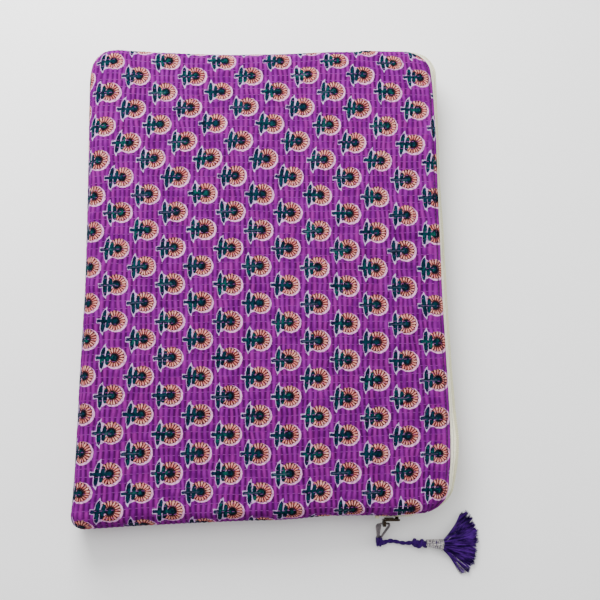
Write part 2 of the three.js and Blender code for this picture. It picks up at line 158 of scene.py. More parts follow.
def soften(x, y, top):
    """How the hand-made outline wanders from the pattern, and the slack in the panel, in millimetres."""
    dx = smooth((-x - 60) / 80) * np.interp(y, *zip(*LEFT_EDGE))
    dx = dx - smooth((x - 90) / 45) * np.interp(y, *zip(*RIGHT_EDGE))
    dy = -smooth((y - 110) / 70) * np.interp(x, *zip(*FAR_EDGE))
    dy = dy + smooth((-y - 110) / 70) * np.interp(x, *zip(*NEAR_EDGE))
    for corner_x, corner_y, reach, amount in CORNERS:
        near = amount * np.exp(-((x - corner_x) ** 2 + (y - corner_y) ** 2) / (2 * reach ** 2))
        dx = dx - math.copysign(1, corner_x) * near
        dy = dy - math.copysign(1, corner_y) * near
    dz = 0.55 * wave_noise(x, y, 95, 3 if top else 4) + 0.28 * wave_noise(x, y, 34, 5 if top else 6)
    return dx, dy, dz


# ---- Quilting ----

COLUMN = 3.95                   # between the puckers, along a stitch row
ROW = 5.85                      # between stitch rows
BACK_SEED = 40                  # added to the noise seeds of the back panel's quilting
STITCH = 0.17                   # radius of the quilting's thread, and of the one that holds the coils


def column_phase(x, y, seed):
    return x / COLUMN + 0.30 * wave_noise(x, y * 0.6, 60, 11 + seed) + 0.10 * wave_noise(x, y, 17, 12 + seed)


def row_phase(x, y, seed):
    return y / ROW + 0.16 * wave_noise(x * 0.5, y, 90, 13 + seed) + 0.04 * wave_noise(x, y, 22, 14 + seed)


def quilting(x, y, calm, seed):
    """Height of the puckered cloth over the padding. calm is 1 where the quilting dies out."""
    c = column_phase(x, y, seed)
    r = row_phase(x, y, seed)
    ridge = 0.5 + 0.5 * np.cos(math.tau * c)
    ridge = ridge ** 0.70
    from_row = np.abs(r - np.round(r)) * ROW
    row_dip = np.exp(-(from_row / 0.75) ** 2)
    wobble = 0.75 + 0.5 * hashed(np.round(c), np.round(r - 0.5), 3 + seed)
    puff = np.cos(math.pi * (r - np.round(r))) ** 2          # 1 on a stitch row
    height = (0.95 * wobble) * (ridge - 0.60) * (0.80 + 0.3 * (1 - puff))
    height = height - 0.28 * row_dip * (0.4 + 0.6 * ridge)
    height = height + 0.10 * wave_noise(x, y, 7.5, 21 + seed)
    return height * (1 - calm)


def calm_near_mouth(distance):
    return 0.85 * (1 - smooth((distance - 1.5) / 11.0))


def fold(x, y):
    """Where a point of the flat cloth comes to: its anchor on the level part, its direction and distance
    out from there, then the rim's shape."""
    x, y = np.broadcast_arrays(np.asarray(x, float), np.asarray(y, float))
    base_x = np.clip(x, CLOSED_X, MOUTH_X)
    limit_y = CLOSED_Y + (MOUTH_Y - CLOSED_Y) * (base_x - CLOSED_X) / (MOUTH_X - CLOSED_X)
    base_y = np.clip(y, -limit_y, limit_y)
    out_x, out_y = x - base_x, y - base_y
    out, dir_x, dir_y = length_and_direction(out_x, out_y)
    return base_x, base_y, dir_x, dir_y, out, *rim_shape(base_x, limit_y, out_x, out_y)


def on_sleeve(x, y, depth, lift, top):
    """A point of the cloth: depth below its own face, then lifted along the face's normal."""
    base_x, base_y, dir_x, dir_y, out, flat, _, _ = fold(x, y)
    a = np.interp(out - flat, RIM_ARCS, RIM_TURNS)
    reach = np.minimum(out, flat) + (RIM - depth) * np.sin(a)
    px, py = base_x + dir_x * reach, base_y + dir_y * reach
    pz = MID + (MID - depth) * np.cos(a)
    side, up = np.sin(a) / RIM, np.cos(a) / MID
    size = np.hypot(side, up)
    side, up = side / size, up / size
    dx, dy, dz = soften(px, py, top)
    level = smooth((pz - MID) / 14)
    px = px + dir_x * side * lift + dx
    py = py + dir_y * side * lift + dy
    pz = pz + up * lift + (dz * level if top else 0.0)
    return vec(px, py, pz if top else HEIGHT - pz)


def cloth_lines():
    """The rows and columns of the fine cloth grid, in cloth coordinates. grid_x runs -1..0..1..2 over the
    closed rim, the panel and the mouth rim, and grid_y -2..-1..1..2 over the rim, the panel and the rim."""
    columns = [np.linspace(-1, 0, 28)[:-1], np.linspace(0, 1, 293), np.linspace(1, 2, 25)[1:]]
    rows = np.concatenate([np.linspace(-2, -1, 17)[:-1], np.linspace(-1, 1, 233), np.linspace(1, 2, 17)[1:]])
    grid_x, grid_y = np.meshgrid(np.concatenate(columns), rows, indexing="ij")
    across = np.where(grid_x < 0, -grid_x, np.where(grid_x > 1, grid_x - 1, 0.0))
    along = np.clip(np.abs(grid_y) - 1, 0, 1)
    middle = np.clip(grid_x, 0, 1)
    out_x = across * np.sqrt(1 - along ** 2 / 2) * np.where(grid_x > 0.5, 1, -1)
    out_y = along * np.sqrt(1 - across ** 2 / 2) * np.sign(grid_y)
    reach, dir_x, dir_y = length_and_direction(out_x, out_y)
    base_x = CLOSED_X + (MOUTH_X - CLOSED_X) * middle
    limit_y = CLOSED_Y + (MOUTH_Y - CLOSED_Y) * middle
    base_y = np.clip(grid_y, -1, 1) * limit_y
    out = reach * rim_shape(base_x, limit_y, out_x, out_y)[1]
    return base_x + dir_x * out, base_y + dir_y * out


# ---- Meshes ----


def make_mesh(name, points, faces, material, **fields):
    """A mesh object from points in millimetres. Each field is a vector attribute of its points."""
    mesh = bpy.data.meshes.new(name)
    points = np.asarray(points, float) / 1000
    mesh.from_pydata(points.tolist(), [], faces)
    mesh.update()
    mesh.calc_loop_triangles()
    corners = np.empty(len(mesh.loop_triangles) * 3, np.int32)
    mesh.loop_triangles.foreach_get("vertices", corners)
    a, b, c = points[corners].reshape(-1, 3, 3).transpose(1, 0, 2)
    if np.einsum("ij,ij->", a, np.cross(b, c)) < 0:
        mesh.flip_normals()
    for field, values in fields.items():
        layer = mesh.attributes.new(field, "FLOAT_VECTOR", "POINT")
        layer.data.foreach_set("vector", np.asarray(values, np.float32).ravel())
    mesh.shade_smooth()
    obj = bpy.data.objects.new(name, mesh)
    bpy.context.scene.collection.objects.link(obj)
    mesh.materials.append(material)
    return obj


def grid_faces(rows, columns, start=0, wrap=False):
    """Quads of a grid of points stored row by row. wrap joins the last column to the first."""
    i, j = np.meshgrid(np.arange(rows - 1), np.arange(columns if wrap else columns - 1), indexing="ij")
    k = (j + 1) % columns
    quads = vec(i * columns + j, (i + 1) * columns + j, (i + 1) * columns + k, i * columns + k)
    return quads.reshape(-1, 4) + start


def border(rows, columns):
    """Index of the grid's border points, once round."""
    g = np.arange(rows * columns).reshape(rows, columns)
    return np.concatenate([g[:-1, 0], g[-1, :-1], g[:0:-1, -1], g[0, :0:-1]])


# How far the printed rows have crept across X: place along Y, distance
ROW_CREEP = (
    (-168, -1.0), (-154, -1.3), (-139, -1.0), (-125, -0.4), (-111, 0.3), (-96, 0.6), (-82, 0.8), (-68, 0.9),
    (-53, 0.9), (-39, 0.9), (-25, 0.4), (-10, -0.2), (3, -0.9), (17, -1.0), (31, -0.8), (46, -1.0),
    (60, -1.7), (74, -2.0), (89, -1.1), (103, 0.1), (117, 0.7), (132, 1.1), (146, 1.7), (160, 1.1),
)

# How far the print is drawn in from the far edge and the near edge: place along X, distance
FAR_CREEP = ((-115, 2.0), (-72, 1.1), (-28, 1.2), (12, 2.0), (62, 3.4), (105, 4.2), (130, 4.4))
NEAR_CREEP = ((-110, 2.0), (-65, 1.2), (-20, 0.8), (25, 0.0), (70, -0.8), (115, -0.8))


def print_creep(x, y):
    """How far the print has crept from its regular lattice as the cloth was quilted, in millimetres."""
    a, b = np.clip(x, -135, 135) / 140, np.clip(y, -178, 178) / 189
    creep_x = np.interp(y, *zip(*ROW_CREEP)) + 0.14 - 0.08 * b + 0.63 * a + 0.5 * a * b - 0.6 * a * a
    creep_y = -0.07 + 2.18 * b + 3.27 * b * b - 0.23 * b ** 3 - 0.5 * a + 2.63 * a * b + 0.6 * a * b * b
    creep_y = creep_y - 1.72 * a * a - 2.94 * a * a * b + 0.64 * a ** 3
    far, near = smooth((y - 165) / 13), smooth((-y - 160) / 13)
    creep_y = creep_y - far * (1 + 0.05 * np.clip(y - 178, 0, 12)) * np.interp(x, *zip(*FAR_CREEP))
    creep_y = creep_y + near * np.interp(x, *zip(*NEAR_CREEP))
    creep_x = creep_x - 1.2 * far
    return creep_x, creep_y


def every(counts, steps):
    """For each count, the index of every so many rows, and of the last."""
    return [np.unique(np.append(np.arange(0, n, k), n - 1)) for n, k in zip(counts, steps)]


HIDDEN = 50.0                   # the hem distance given to the cloth's inner side, where no hem is drawn
INSIDE_STEPS = 8, 4             # the inner side has every eighth row and every fourth column


def quilted_panel(name, top, material):
    """One panel's outer cloth and padding as a closed, padded solid. Its hidden inner side is coarse."""
    x, y = cloth_lines()
    rows, columns = x.shape
    out, flat, extent, turned = fold(x, y)[4:]
    edge = extent - out
    seamed = smooth((turned - LEG_TURN) / (CLOSED_TURN - LEG_TURN))
    calm = calm_near_mouth(np.where(seamed < 0.5, edge, 99)) * (1 - seamed)
    seed = 0 if top else BACK_SEED
    rounding = smooth((out - flat) / 6)
    lift = quilting(x, y, np.maximum(calm, 0.68 * rounding), seed)
    lift = lift - seamed * 1.3 * np.exp(-(edge / 1.5) ** 2)
    lift = lift - (1 - seamed) * 0.45 * np.exp(-((edge - HEM) / 0.8) ** 2)
    if not top:
        level = 1 - smooth((out - flat) / 4)
        lift = lift - level * 0.5
        lift = np.where(level > 0.5, np.minimum(lift, 0.0), lift)
    outer = on_sleeve(x, y, 0.0, lift, top).reshape(-1, 3)
    creep_x, creep_y = print_creep(x, y) if top else (0.0, 0.0)
    cloth = [vec(x - creep_x, y - creep_y, edge + 60 * seamed).reshape(-1, 3)]
    # The puckers' painted shade fades out over the closed long side
    shade_faded = np.maximum(calm, 0.75 * (1 - smooth((x + 143) / 13)))
    quilt = vec(column_phase(x, y, seed), row_phase(x, y, seed), shade_faded).reshape(-1, 3)
    points, faces = [outer], grid_faces(rows, columns).tolist()
    ring = border(rows, columns)
    bx, by = x.ravel()[ring], y.ravel()[ring]
    out_x, out_y, turn = (fold(bx, by)[k] for k in (2, 3, 7))
    previous, start = ring, len(outer)
    open_edge = 1 - seamed.ravel()[ring]
    for depth, bulge in ((0.5, 0.30), (1.6, 0.42), (3.0, 0.2), (SKIN, 0.0)):
        p = on_sleeve(bx, by, depth, 0.0, top)
        # The fold at the cloth's edge stands out along the panel, past its cut edge.
        p[:, 0] += out_x * np.cos(turn) * bulge * open_edge
        p[:, 1] += out_y * np.cos(turn) * bulge * open_edge
        p[:, 2] += np.sin(turn) * bulge * open_edge * (-1 if top else 1)
        index = np.arange(start, start + len(ring))
        faces += vec(previous, index, np.roll(index, -1), np.roll(previous, -1)).tolist()
        points.append(p)
        cloth.append(vec(bx + out_x * depth, by + out_y * depth, HIDDEN))
        previous, start = index, start + len(ring)
    xs, ys = every((rows, columns), INSIDE_STEPS)
    at = {int(r): int(p) for r, p in zip(ring, previous)}
    inner_x, inner_y = np.meshgrid(xs[1:-1], ys[1:-1], indexing="ij")
    inner = x[inner_x, inner_y], y[inner_x, inner_y]
    for k, (i, j) in enumerate(zip(inner_x.ravel(), inner_y.ravel())):
        at[int(i) * columns + int(j)] = start + k
    points.append(on_sleeve(*inner, SKIN, 0.0, top).reshape(-1, 3))
    cloth.append(vec(*inner, HIDDEN).reshape(-1, 3))
    for a in range(len(xs) - 1):
        for b in range(len(ys) - 1):
            i0, i1, j0, j1 = int(xs[a]), int(xs[a + 1]), int(ys[b]), int(ys[b + 1])
            south = range(i0, i1 + 1) if j0 == 0 else (i0, i1)
            east = range(j0, j1 + 1) if i1 == rows - 1 else (j0, j1)
            north = range(i1, i0 - 1, -1) if j1 == columns - 1 else (i1, i0)
            west = range(j1, j0 - 1, -1) if i0 == 0 else (j1, j0)
            loop = [(i, j0) for i in south] + [(i1, j) for j in east]
            loop += [(i, j1) for i in north] + [(i0, j) for j in west]
            face = []
            for i, j in loop:
                v = at[i * columns + j]
                if not face or face[-1] != v:
                    face.append(v)
            if face[0] == face[-1]:
                face.pop()
            faces.append(face[::-1])
    faces = faces if top else [f[::-1] for f in faces]
    hidden = np.concatenate(cloth)[len(outer):]
    phases = [column_phase(hidden[:, 0], hidden[:, 1], seed), row_phase(hidden[:, 0], hidden[:, 1], seed)]
    turned_in = np.full(len(hidden), 2.0)
    turned_in[:len(ring)] = 1.0
    quilt = np.concatenate([quilt, vec(*phases, turned_in)])
    return make_mesh(name, np.concatenate(points), faces, material, cloth=np.concatenate(cloth), quilt=quilt)


# ---- Node materials ----


def add_node(tree, kind, inputs, **settings):
    """A shader node. Inputs that are sockets or Values are linked and the rest are set."""
    node = tree.nodes.new("ShaderNode" + kind)
    for key, setting in settings.items():
        setattr(node, key, setting)
    for key, value in inputs.items():
        source = value.source if isinstance(value, Value) else value
        if isinstance(source, bpy.types.NodeSocket):
            tree.links.new(source, node.inputs[key])
        else:
            node.inputs[key].default_value = source
    return node


class Value:
    """A number in a node tree, with arithmetic that adds Math nodes."""

    def __init__(self, tree, source):
        self.tree, self.source = tree, source

    def math(self, operation, *others):
        inputs = dict(enumerate((self, *others)))
        return Value(self.tree, add_node(self.tree, "Math", inputs, operation=operation).outputs[0])

    def __add__(self, other): return self.math("ADD", other)
    def __radd__(self, other): return self.math("ADD", other)
    def __sub__(self, other): return self.math("SUBTRACT", other)
    def __rsub__(self, other): return self.math("MULTIPLY_ADD", -1.0, other)
    def __mul__(self, other): return self.math("MULTIPLY", other)
    def __truediv__(self, other): return self.math("DIVIDE", other)
    def abs(self): return self.math("ABSOLUTE")
    def min(self, other): return self.math("MINIMUM", other)
    def max(self, other): return self.math("MAXIMUM", other)
    def floor(self): return self.math("FLOOR")
    def round(self): return self.math("ROUND")
    def sqrt(self): return self.math("SQRT")
    def sin(self): return self.math("SINE")
    def power(self, other): return self.math("POWER", other)

    def ramp(self, low, high, to_low=0.0, to_high=1.0):
        """Smoothly from to_low at low to to_high at high."""
        inputs = {"Value": self, "From Min": low, "From Max": high, "To Min": to_low, "To Max": to_high}
        node = add_node(self.tree, "MapRange", inputs, interpolation_type="SMOOTHSTEP")
        return Value(self.tree, node.outputs["Result"])

    def fall(self, low, high):
        return self.ramp(low, high, 1.0, 0.0)

    def inside(self, blur=0.12):
        """1 where a signed distance is below 0."""
        return self.fall(-blur, blur)


class Paint:
    """A material being built: shader, noise and colour helpers."""

    def __init__(self, name, **sockets):
        self.material = bpy.data.materials.new(name)
        self.material.use_nodes = True
        self.tree = self.material.node_tree
        self.shader = self.tree.nodes["Principled BSDF"]
        for key, value in sockets.items():
            self.shader.inputs[key.replace("_", " ")].default_value = value

    def node(self, kind, inputs, **settings):
        return add_node(self.tree, kind, inputs, **settings)

    def split(self, socket, kind="SeparateXYZ"):
        node = self.node(kind, {0: socket})
        return [Value(self.tree, node.outputs[k]) for k in range(3)]

    def attribute(self, name):
        return self.split(self.node("Attribute", {}, attribute_name=name).outputs["Vector"])

    def place(self):
        """The point in the object's own frame, in millimetres."""
        point = self.node("TexCoord", {}).outputs["Object"]
        return self.split(self.node("VectorMath", {0: point, "Scale": 1000}, operation="SCALE").outputs[0])

    def join(self, x, y, z):
        return self.node("CombineXYZ", {0: x, 1: y, 2: z}).outputs[0]

    def noise(self, vector, scale, detail, roughness=0.5):
        inputs = {"Vector": vector, "Scale": scale, "Detail": detail, "Roughness": roughness}
        return Value(self.tree, self.node("TexNoise", inputs).outputs["Fac"])

    def white(self, vector):
        """Three unrelated numbers from 0 to 1 for each vector."""
        node = self.node("TexWhiteNoise", {"Vector": vector}, noise_dimensions="3D")
        return self.split(node.outputs["Color"], "SeparateColor")

    def mix(self, factor, a, b):
        """A colour between two, each a socket or three numbers."""
        a, b = (c if isinstance(c, bpy.types.NodeSocket) else (*c, 1) for c in (a, b))
        return self.node("Mix", {0: factor, 6: a, 7: b}, data_type="RGBA", clamp_factor=True).outputs[2]

    def dim(self, colour, factor):
        """The colour times a number."""
        return self.node("VectorMath", {0: colour, "Scale": factor}, operation="SCALE").outputs[0]

    def colour(self, socket):
        self.tree.links.new(socket, self.shader.inputs["Base Color"])

    def roughness(self, value):
        self.tree.links.new(value.source, self.shader.inputs["Roughness"])

    def bump(self, height, distance_mm, strength):
        node = self.node("Bump", {"Height": height, "Distance": distance_mm / 1000, "Strength": strength})
        self.tree.links.new(node.outputs["Normal"], self.shader.inputs["Normal"])


# Colours, linear
RIDGE = (0.200, 0.0100, 0.226)
RIDGE_PINK = (0.235, 0.013, 0.200)
DEEP = (0.116, 0.0022, 0.140)
# Painted shade, mixed into the hollows between the puckers
VALLEY_SHADE = (0.034, 0.0001, 0.046)
TEAL = (0.0050, 0.026, 0.041)
TEAL_DARK = (0.0022, 0.0075, 0.0165)
TEAL_GREEN = (0.002, 0.066, 0.050)
NAVY = (0.0070, 0.0060, 0.0400)
SOOT = (0.0040, 0.0028, 0.0040)
SALMON = (0.60, 0.165, 0.155)
SALMON_LIGHT = (0.80, 0.39, 0.31)
STROKE = (0.075, 0.0065, 0.010)
PALE = (0.77, 0.37, 0.66)
PALE_DIM = (0.49, 0.19, 0.42)
PALE_BLUE = (0.42, 0.34, 0.62)
BACKING = (0.42, 0.37, 0.26)

PRINT_X, PRINT_Y = 44.56, 28.62                               # between motifs of one lattice
PETAL = 0.331                                                 # a petal's share of the turn, in radians
THREAD_PITCH = 0.55                                           # between the cloth's own threads


def printed_cotton(name, shift_x=0.0, shift_y=0.0, seed=0.0):
    """The block-printed cloth. cloth holds the cloth's own coordinates and the distance from its hem, and
    quilt holds the pucker and stitch-row phases, then how far the quilting has died out."""
    p = Paint(name, Sheen_Weight=0.0, IOR=1.45, Specular_IOR_Level=0.02, Specular_Tint=(0.9, 0.5, 1.0, 1))
    x, y, hem = p.attribute("cloth")
    x, y = x + shift_x, y + shift_y
    where = p.join(x, y, seed)
    # Slight bleed and drift of the printed edges
    drift = p.noise(where, 0.60, 2.0) - 0.5
    drift_2 = p.noise(p.join(x, y, seed + 40), 0.60, 2.0) - 0.5
    xb, yb = x + drift * 1.1, y + drift_2 * 1.1

    def distance(a, b):
        return (a * a + b * b).sqrt()

    def leaf_width(tall, reach, width, widening):
        """Half a leaf's width at a height from the stem, up to its reach."""
        share = tall / reach
        return (1 - share * share).max(0.0).sqrt() * (share * widening + width)

    def motif(half):
        """The block print about one of the two lattices: its masks, and a few numbers that vary its ink."""
        y1 = (y - 3.4) + x * 0.0153
        row = y1 / PRINT_Y
        x1 = x + 1.73 - row * 1.43 - row * row * 0.237
        column = x1 / PRINT_X
        if half:
            i, j = column.floor() + 0.5, row.floor() + 0.5
        else:
            i, j = column.round(), row.round()
        centre_x = i * PRINT_X + j * 1.43 + i * i * 0.243 + i * j * 0.113 + j * j * 0.237 - 1.73
        centre_y = j * PRINT_Y - i * 0.68 + 3.36
        h = p.white(p.join(i, j, seed + 2.5))
        k = p.white(p.join(i, j, seed + 7.5))
        px = xb - centre_x - (h[0] - 0.5) * 0.8
        py = yb - centre_y - (h[1] - 0.5) * 0.8
        lean = (h[2] - 0.5) * 0.10
        px, py = px + py * lean, py - px * lean
        from_stem = py + 0.6
        tall = from_stem.abs()
        cx, cy = px - 0.25, py + 0.4
        r = distance(cx, cy)
        heading = cy.math("ARCTAN2", cx)
        # Flower: a dark centre, and petals round nearly four fifths of it between dark strokes
        core = r + (k[0] - 0.5) * 0.4 - 3.15
        soot = (r - 2.95 - (h[1] - 0.5) * 0.4).abs().fall(0.45, 1.50) * cx.ramp(-3.0, -1.0)
        turn = heading / PETAL + k[1]
        blade = (turn - turn.round()).abs()                   # 0 in a petal's middle, 0.5 between two
        scallop = (0.5 - blade) * 1.3
        petal_x, petal_y = px - 0.45, py + 0.12
        disc = distance(petal_x, petal_y) - 7.50 - scallop * 0.9
        open_side = heading.abs().ramp(2.36, 2.56)
        ring = disc.inside() * core.ramp(-0.1, 0.25) * (1 - open_side)
        stroke_width = r * PETAL * (0.5 - blade) - (k[2] - 0.5) * 0.16
        stroke = stroke_width.fall(0.30, 0.72)
        tip_dot = (disc + 0.55).abs().fall(0.25, 0.7) * stroke_width.fall(0.45, 0.95)
        tip_arc = (disc + 0.30).abs().fall(0.2, 0.6) * (0.35 + h[2] * 0.5)
        strokes = stroke.max(tip_arc)
        # Stem and two pairs of leaves
        stem = (tall - 1.38 - (k[0] - 0.5) * 0.3).max(-13.4 - px + tall * tall * 0.35).max(px + 2.0)
        outer_x = px + 8.35 - from_stem * from_stem.max(0.0) * 0.012 + from_stem * (h[1] - 0.5) * 0.12
        outer_width = leaf_width(tall, (k[1] - 0.5) * 0.8 + 8.6, 1.52, 0.75)
        outer = (outer_x.abs() - outer_width).max(tall - 9.0)
        inner_x = px + 4.50 - from_stem * 0.10 + from_stem * (h[0] - 0.5) * 0.12
        inner_width = leaf_width(tall, 5.7, 1.45, 0.80)
        inner = (inner_x.abs() - inner_width).max(tall - 5.7)
        green = core.min(stem).min(outer).min(inner)
        # Pale outline round everything, filled in between the leaves and the flower
        halo_x, halo_y = px - 1.35, py + 0.80
        halo_flower = distance(halo_x, halo_y) - 8.20 - (k[2] - 0.5) * 0.5
        halo_outer = (outer_x.abs() - outer_width - 0.38).max(tall - 9.2)
        halo_stem = (tall - 1.95 - (h[0] - 0.5) * 0.4).max(-13.5 - px).max(px + 2.5)
        above = from_stem + (px + 8.0) * 0.60 - 9.0
        below = -8.6 - from_stem + (px + 8.0) * 0.50
        fill = (-8.3 - px).max(px + 2.0).max(above).max(below)
        spike = ((outer_x + (tall - 9.0) * (k[0] - 0.6) * 0.6).abs() - (11.0 - tall) * 0.46).max(8.0 - tall)
        halo = halo_flower.min(halo_outer).min(halo_stem).min(fill).min(spike)
        return halo.inside(0.20), ring, strokes, tip_dot, soot, green.inside(0.16), h, k, tall, px

    pucker, row, calm = p.attribute("quilt")
    mottled = p.noise(where, 0.09, 3.0)
    cell = p.white(p.join(pucker.round(), (row + 0.5).round(), seed + 5))
    ground = p.mix(mottled.ramp(0.32, 0.68), DEEP, RIDGE)
    ground = p.mix(cell[0].ramp(0.3, 1.0) * 0.5, ground, RIDGE_PINK)
    # Painted shade in the hollows between the puckers, lighter where a stitch row crosses them and fading
    # where the quilting calms
    trough = (0.5 - (pucker * math.tau).math("COSINE") * 0.5).power(1.35)
    from_row = (row - row.round()).abs() * ROW
    bridge = from_row.fall(0.0, 0.8)
    hollow_shade = trough * (1 - bridge * 0.48) * (1 - calm * 0.8).max(0.0) * (0.56 + cell[1] * 0.40)
    ground = p.mix(hollow_shade * 0.92, ground, VALLEY_SHADE)
    ink = p.noise(p.join(x, y, seed + 8), 0.45, 3.0)
    colour = ground
    for half in (False, True):
        halo, ring, strokes, tip_dot, soot, green, h, k, tall, px = motif(half)
        pale = p.mix(ink.ramp(0.45, 0.8) * 0.7, PALE, PALE_DIM)
        pale = p.mix(px.fall(-6.5, -3.5) * 0.65, pale, PALE_BLUE)
        colour = p.mix(halo * 0.92, colour, pale)
        petal = p.mix(ink.ramp(0.35, 0.7), SALMON, SALMON_LIGHT)
        petal = p.mix(strokes * 0.95, petal, STROKE)
        petal = p.mix(tip_dot * 0.8, petal, SOOT)
        colour = p.mix(ring, colour, petal)
        leaf = p.mix(ink.ramp(0.34, 0.60), TEAL_DARK, TEAL)
        leaf = p.mix((ink - 0.52).ramp(0.0, 0.12) * h[0].ramp(0.2, 0.8) * 0.9, leaf, TEAL_GREEN)
        leaf = p.mix(px.fall(-12.0, -10.0).max(tall.ramp(5.5, 7.5)) * 0.7, leaf, NAVY)
        vein = tall.fall(0.05, 0.40) * px.ramp(-13.0, -11.0) * px.fall(-1.0, 0.5)
        vein = vein * h[2].ramp(0.55, 0.9)
        leaf = p.mix(vein * 0.16, leaf, PALE_BLUE)
        colour = p.mix(green, colour, leaf)
        colour = p.mix(soot * 0.88, colour, SOOT)
    weave = (x * (math.tau / THREAD_PITCH)).sin() * (y * (math.tau / THREAD_PITCH)).sin()
    fibre = p.noise(p.join(x, y, seed + 12), 2.2, 4.0, 0.6)
    # Painted shade along the hem's groove
    groove = (hem - HEM).abs().fall(0.35, 1.15)
    # Painted shade: the hollows between the puckers and the hem's groove are darker, whatever is printed
    # across them
    shade = (1 - hollow_shade * 0.28) * (1 - groove * 0.55)
    colour = p.dim(colour, shade * (fibre.ramp(0.25, 0.75, 0.88, 1.10) + weave * 0.03))
    p.colour(p.mix(calm.ramp(1.2, 1.6), colour, BACKING))
    p.roughness(fibre.ramp(0.3, 0.7, 0.78, 0.94))
    p.bump(weave * 0.25 + fibre * 0.75, 0.22, 0.8)
    return p.material


def plain_cloth(name, dark, light, weave_mm, shade_lines=(), roughness=0.9):
    """A plain woven cloth: two tones, a fine weave and loose fibres, with a line of painted shade at each
    place given across the strip.
    """
    p = Paint(name, Roughness=roughness, Sheen_Weight=0.15, Sheen_Roughness=0.5, Specular_IOR_Level=0.2)
    x, y, z = p.place()
    where = p.join(x, y, z)
    slub = p.noise(where, 0.7, 4.0, 0.6)
    weave = (x * (math.tau / weave_mm)).sin() * (y * (math.tau / weave_mm)).sin()
    colour = p.mix(slub.ramp(0.3, 0.7), dark, light)
    shade = weave * 0.04 + 1.0
    # Painted shade: a darker line along the strip at each place given
    for shade_line in shade_lines:
        shade = shade - (p.attribute("strip")[0] - shade_line).abs().ramp(0.02, 0.06, 0.50, 0.0)
    p.colour(p.dim(colour, shade))
    p.roughness(slub.ramp(0.3, 0.7, 0.82, 0.95))
    p.bump(weave * 0.5 + slub, 0.12, 0.8)
    return p.material


def thread(name, dark, light, roughness, grain=(3.0, 3.0, 3.0), fan=None, **sockets):
    """Twisted or combed thread, with fine streaks."""
    p = Paint(name, **{"Sheen_Weight": 0.3, "Sheen_Roughness": 0.35, **sockets})
    x, y, z = p.place()
    if fan:                                                   # streaks run out from a point
        x, y = x - fan[0], y - fan[1]
        x, y = (x * x + y * y).sqrt(), y.math("ARCTAN2", x)
    streak = p.noise(p.join(x * grain[0], y * grain[1], z * grain[2]), 1.0, 3.0, 0.6)
    p.colour(p.mix(streak.ramp(0.35, 0.72), dark, light))
    p.roughness(streak.ramp(0.3, 0.7, *roughness))
    p.bump(streak, 0.08, 0.8)
    return p.material


def metal(name, base, worn, roughness, scratch):
    """Plated metal with rubbed edges and fine scratches."""
    p = Paint(name, Metallic=0.95)
    x, y, z = p.place()
    where = p.join(x, y, z)
    cloud = p.noise(where, 0.5, 4.0, 0.6)
    lines = p.noise(p.join(x * 0.4, y * 5.0, z * 5.0), 1.2, 3.0, 0.6)
    edge = Value(p.tree, p.node("NewGeometry", {}).outputs["Pointiness"]).ramp(0.51, 0.58)
    colour = p.mix(cloud.ramp(0.35, 0.7) * scratch, base, worn)
    p.colour(p.mix(edge * 0.7, colour, worn))
    p.roughness(lines.ramp(0.3, 0.7, *roughness))
    p.bump(lines * 0.5 + cloud, 0.03, 0.6)
    return p.material


# ---- Swept and gathered shapes ----


def circle(sides, radius, phase=0.0):
    a = np.arange(sides) * math.tau / sides + phase
    return vec(np.cos(a), np.sin(a)) * radius


def rounded_strip(width, thickness, steps=3):
    """Section of a flat strip with rounded edges, across and up."""
    r = thickness / 2
    a = np.linspace(-math.pi / 2, math.pi / 2, steps + 2)
    right = vec(width / 2 - r + r * np.cos(a), r * np.sin(a))
    left = vec(-width / 2 + r - r * np.cos(a), -r * np.sin(a))
    return np.concatenate([right, left])


def unit(v):
    return v / np.maximum(np.linalg.norm(v, axis=-1, keepdims=True), 1e-12)


def frames(path, up):
    """Directions across and up at each point of a path, from a rough up direction."""
    tangent = unit(np.gradient(path, axis=0))
    across = unit(np.cross(tangent, np.broadcast_to(up, path.shape)))
    return across, np.cross(across, tangent)


def sweep(path, across, up, section, scale=None, closed=False):
    """Points and faces of a section swept along a path. section is (K, 2), or (M, K, 2) to vary it."""
    section = np.broadcast_to(section, (len(path), *np.shape(section)[-2:]))
    if scale is not None:
        section = section * np.reshape(scale, (-1, 1, 1))
    points = path[:, None] + across[:, None] * section[..., :1] + up[:, None] * section[..., 1:]
    count = section.shape[1]
    faces = grid_faces(len(path), count, wrap=True)[:, ::-1]
    if closed:
        last = (len(path) - 1) * count
        k = np.arange(count)
        n = (k + 1) % count
        faces = np.concatenate([faces, vec(last + n, n, k, last + k)])
        return points.reshape(-1, 3), faces.tolist()
    faces = faces.tolist()
    faces.append(list(range(count)))
    faces.append(list(range(len(path) * count - 1, (len(path) - 1) * count - 1, -1)))
    return points.reshape(-1, 3), faces


def strand(path, up, sides, radius, scale=None):
    """A round strand along a path."""
    return sweep(path, *frames(path, up), circle(sides, radius), scale)


def tube(loops, outward):
    """Points and faces of closed loops of points, joined in a row and capped."""
    count = loops.shape[1]
    faces = grid_faces(len(loops), count, wrap=True)
    faces = (faces if outward else faces[:, ::-1]).tolist()
    ends = [list(range(count))[::-1], list(range((len(loops) - 1) * count, len(loops) * count))]
    faces += ends if outward else [e[::-1] for e in ends]
    return loops.reshape(-1, 3), faces


def gather(parts):
    """Several sets of points and faces as one."""
    points, faces, start = [], [], 0
    for p, f in parts:
        points.append(p)
        faces.extend([[v + start for v in face] for face in f])
        start += len(p)
    return np.concatenate(points), faces


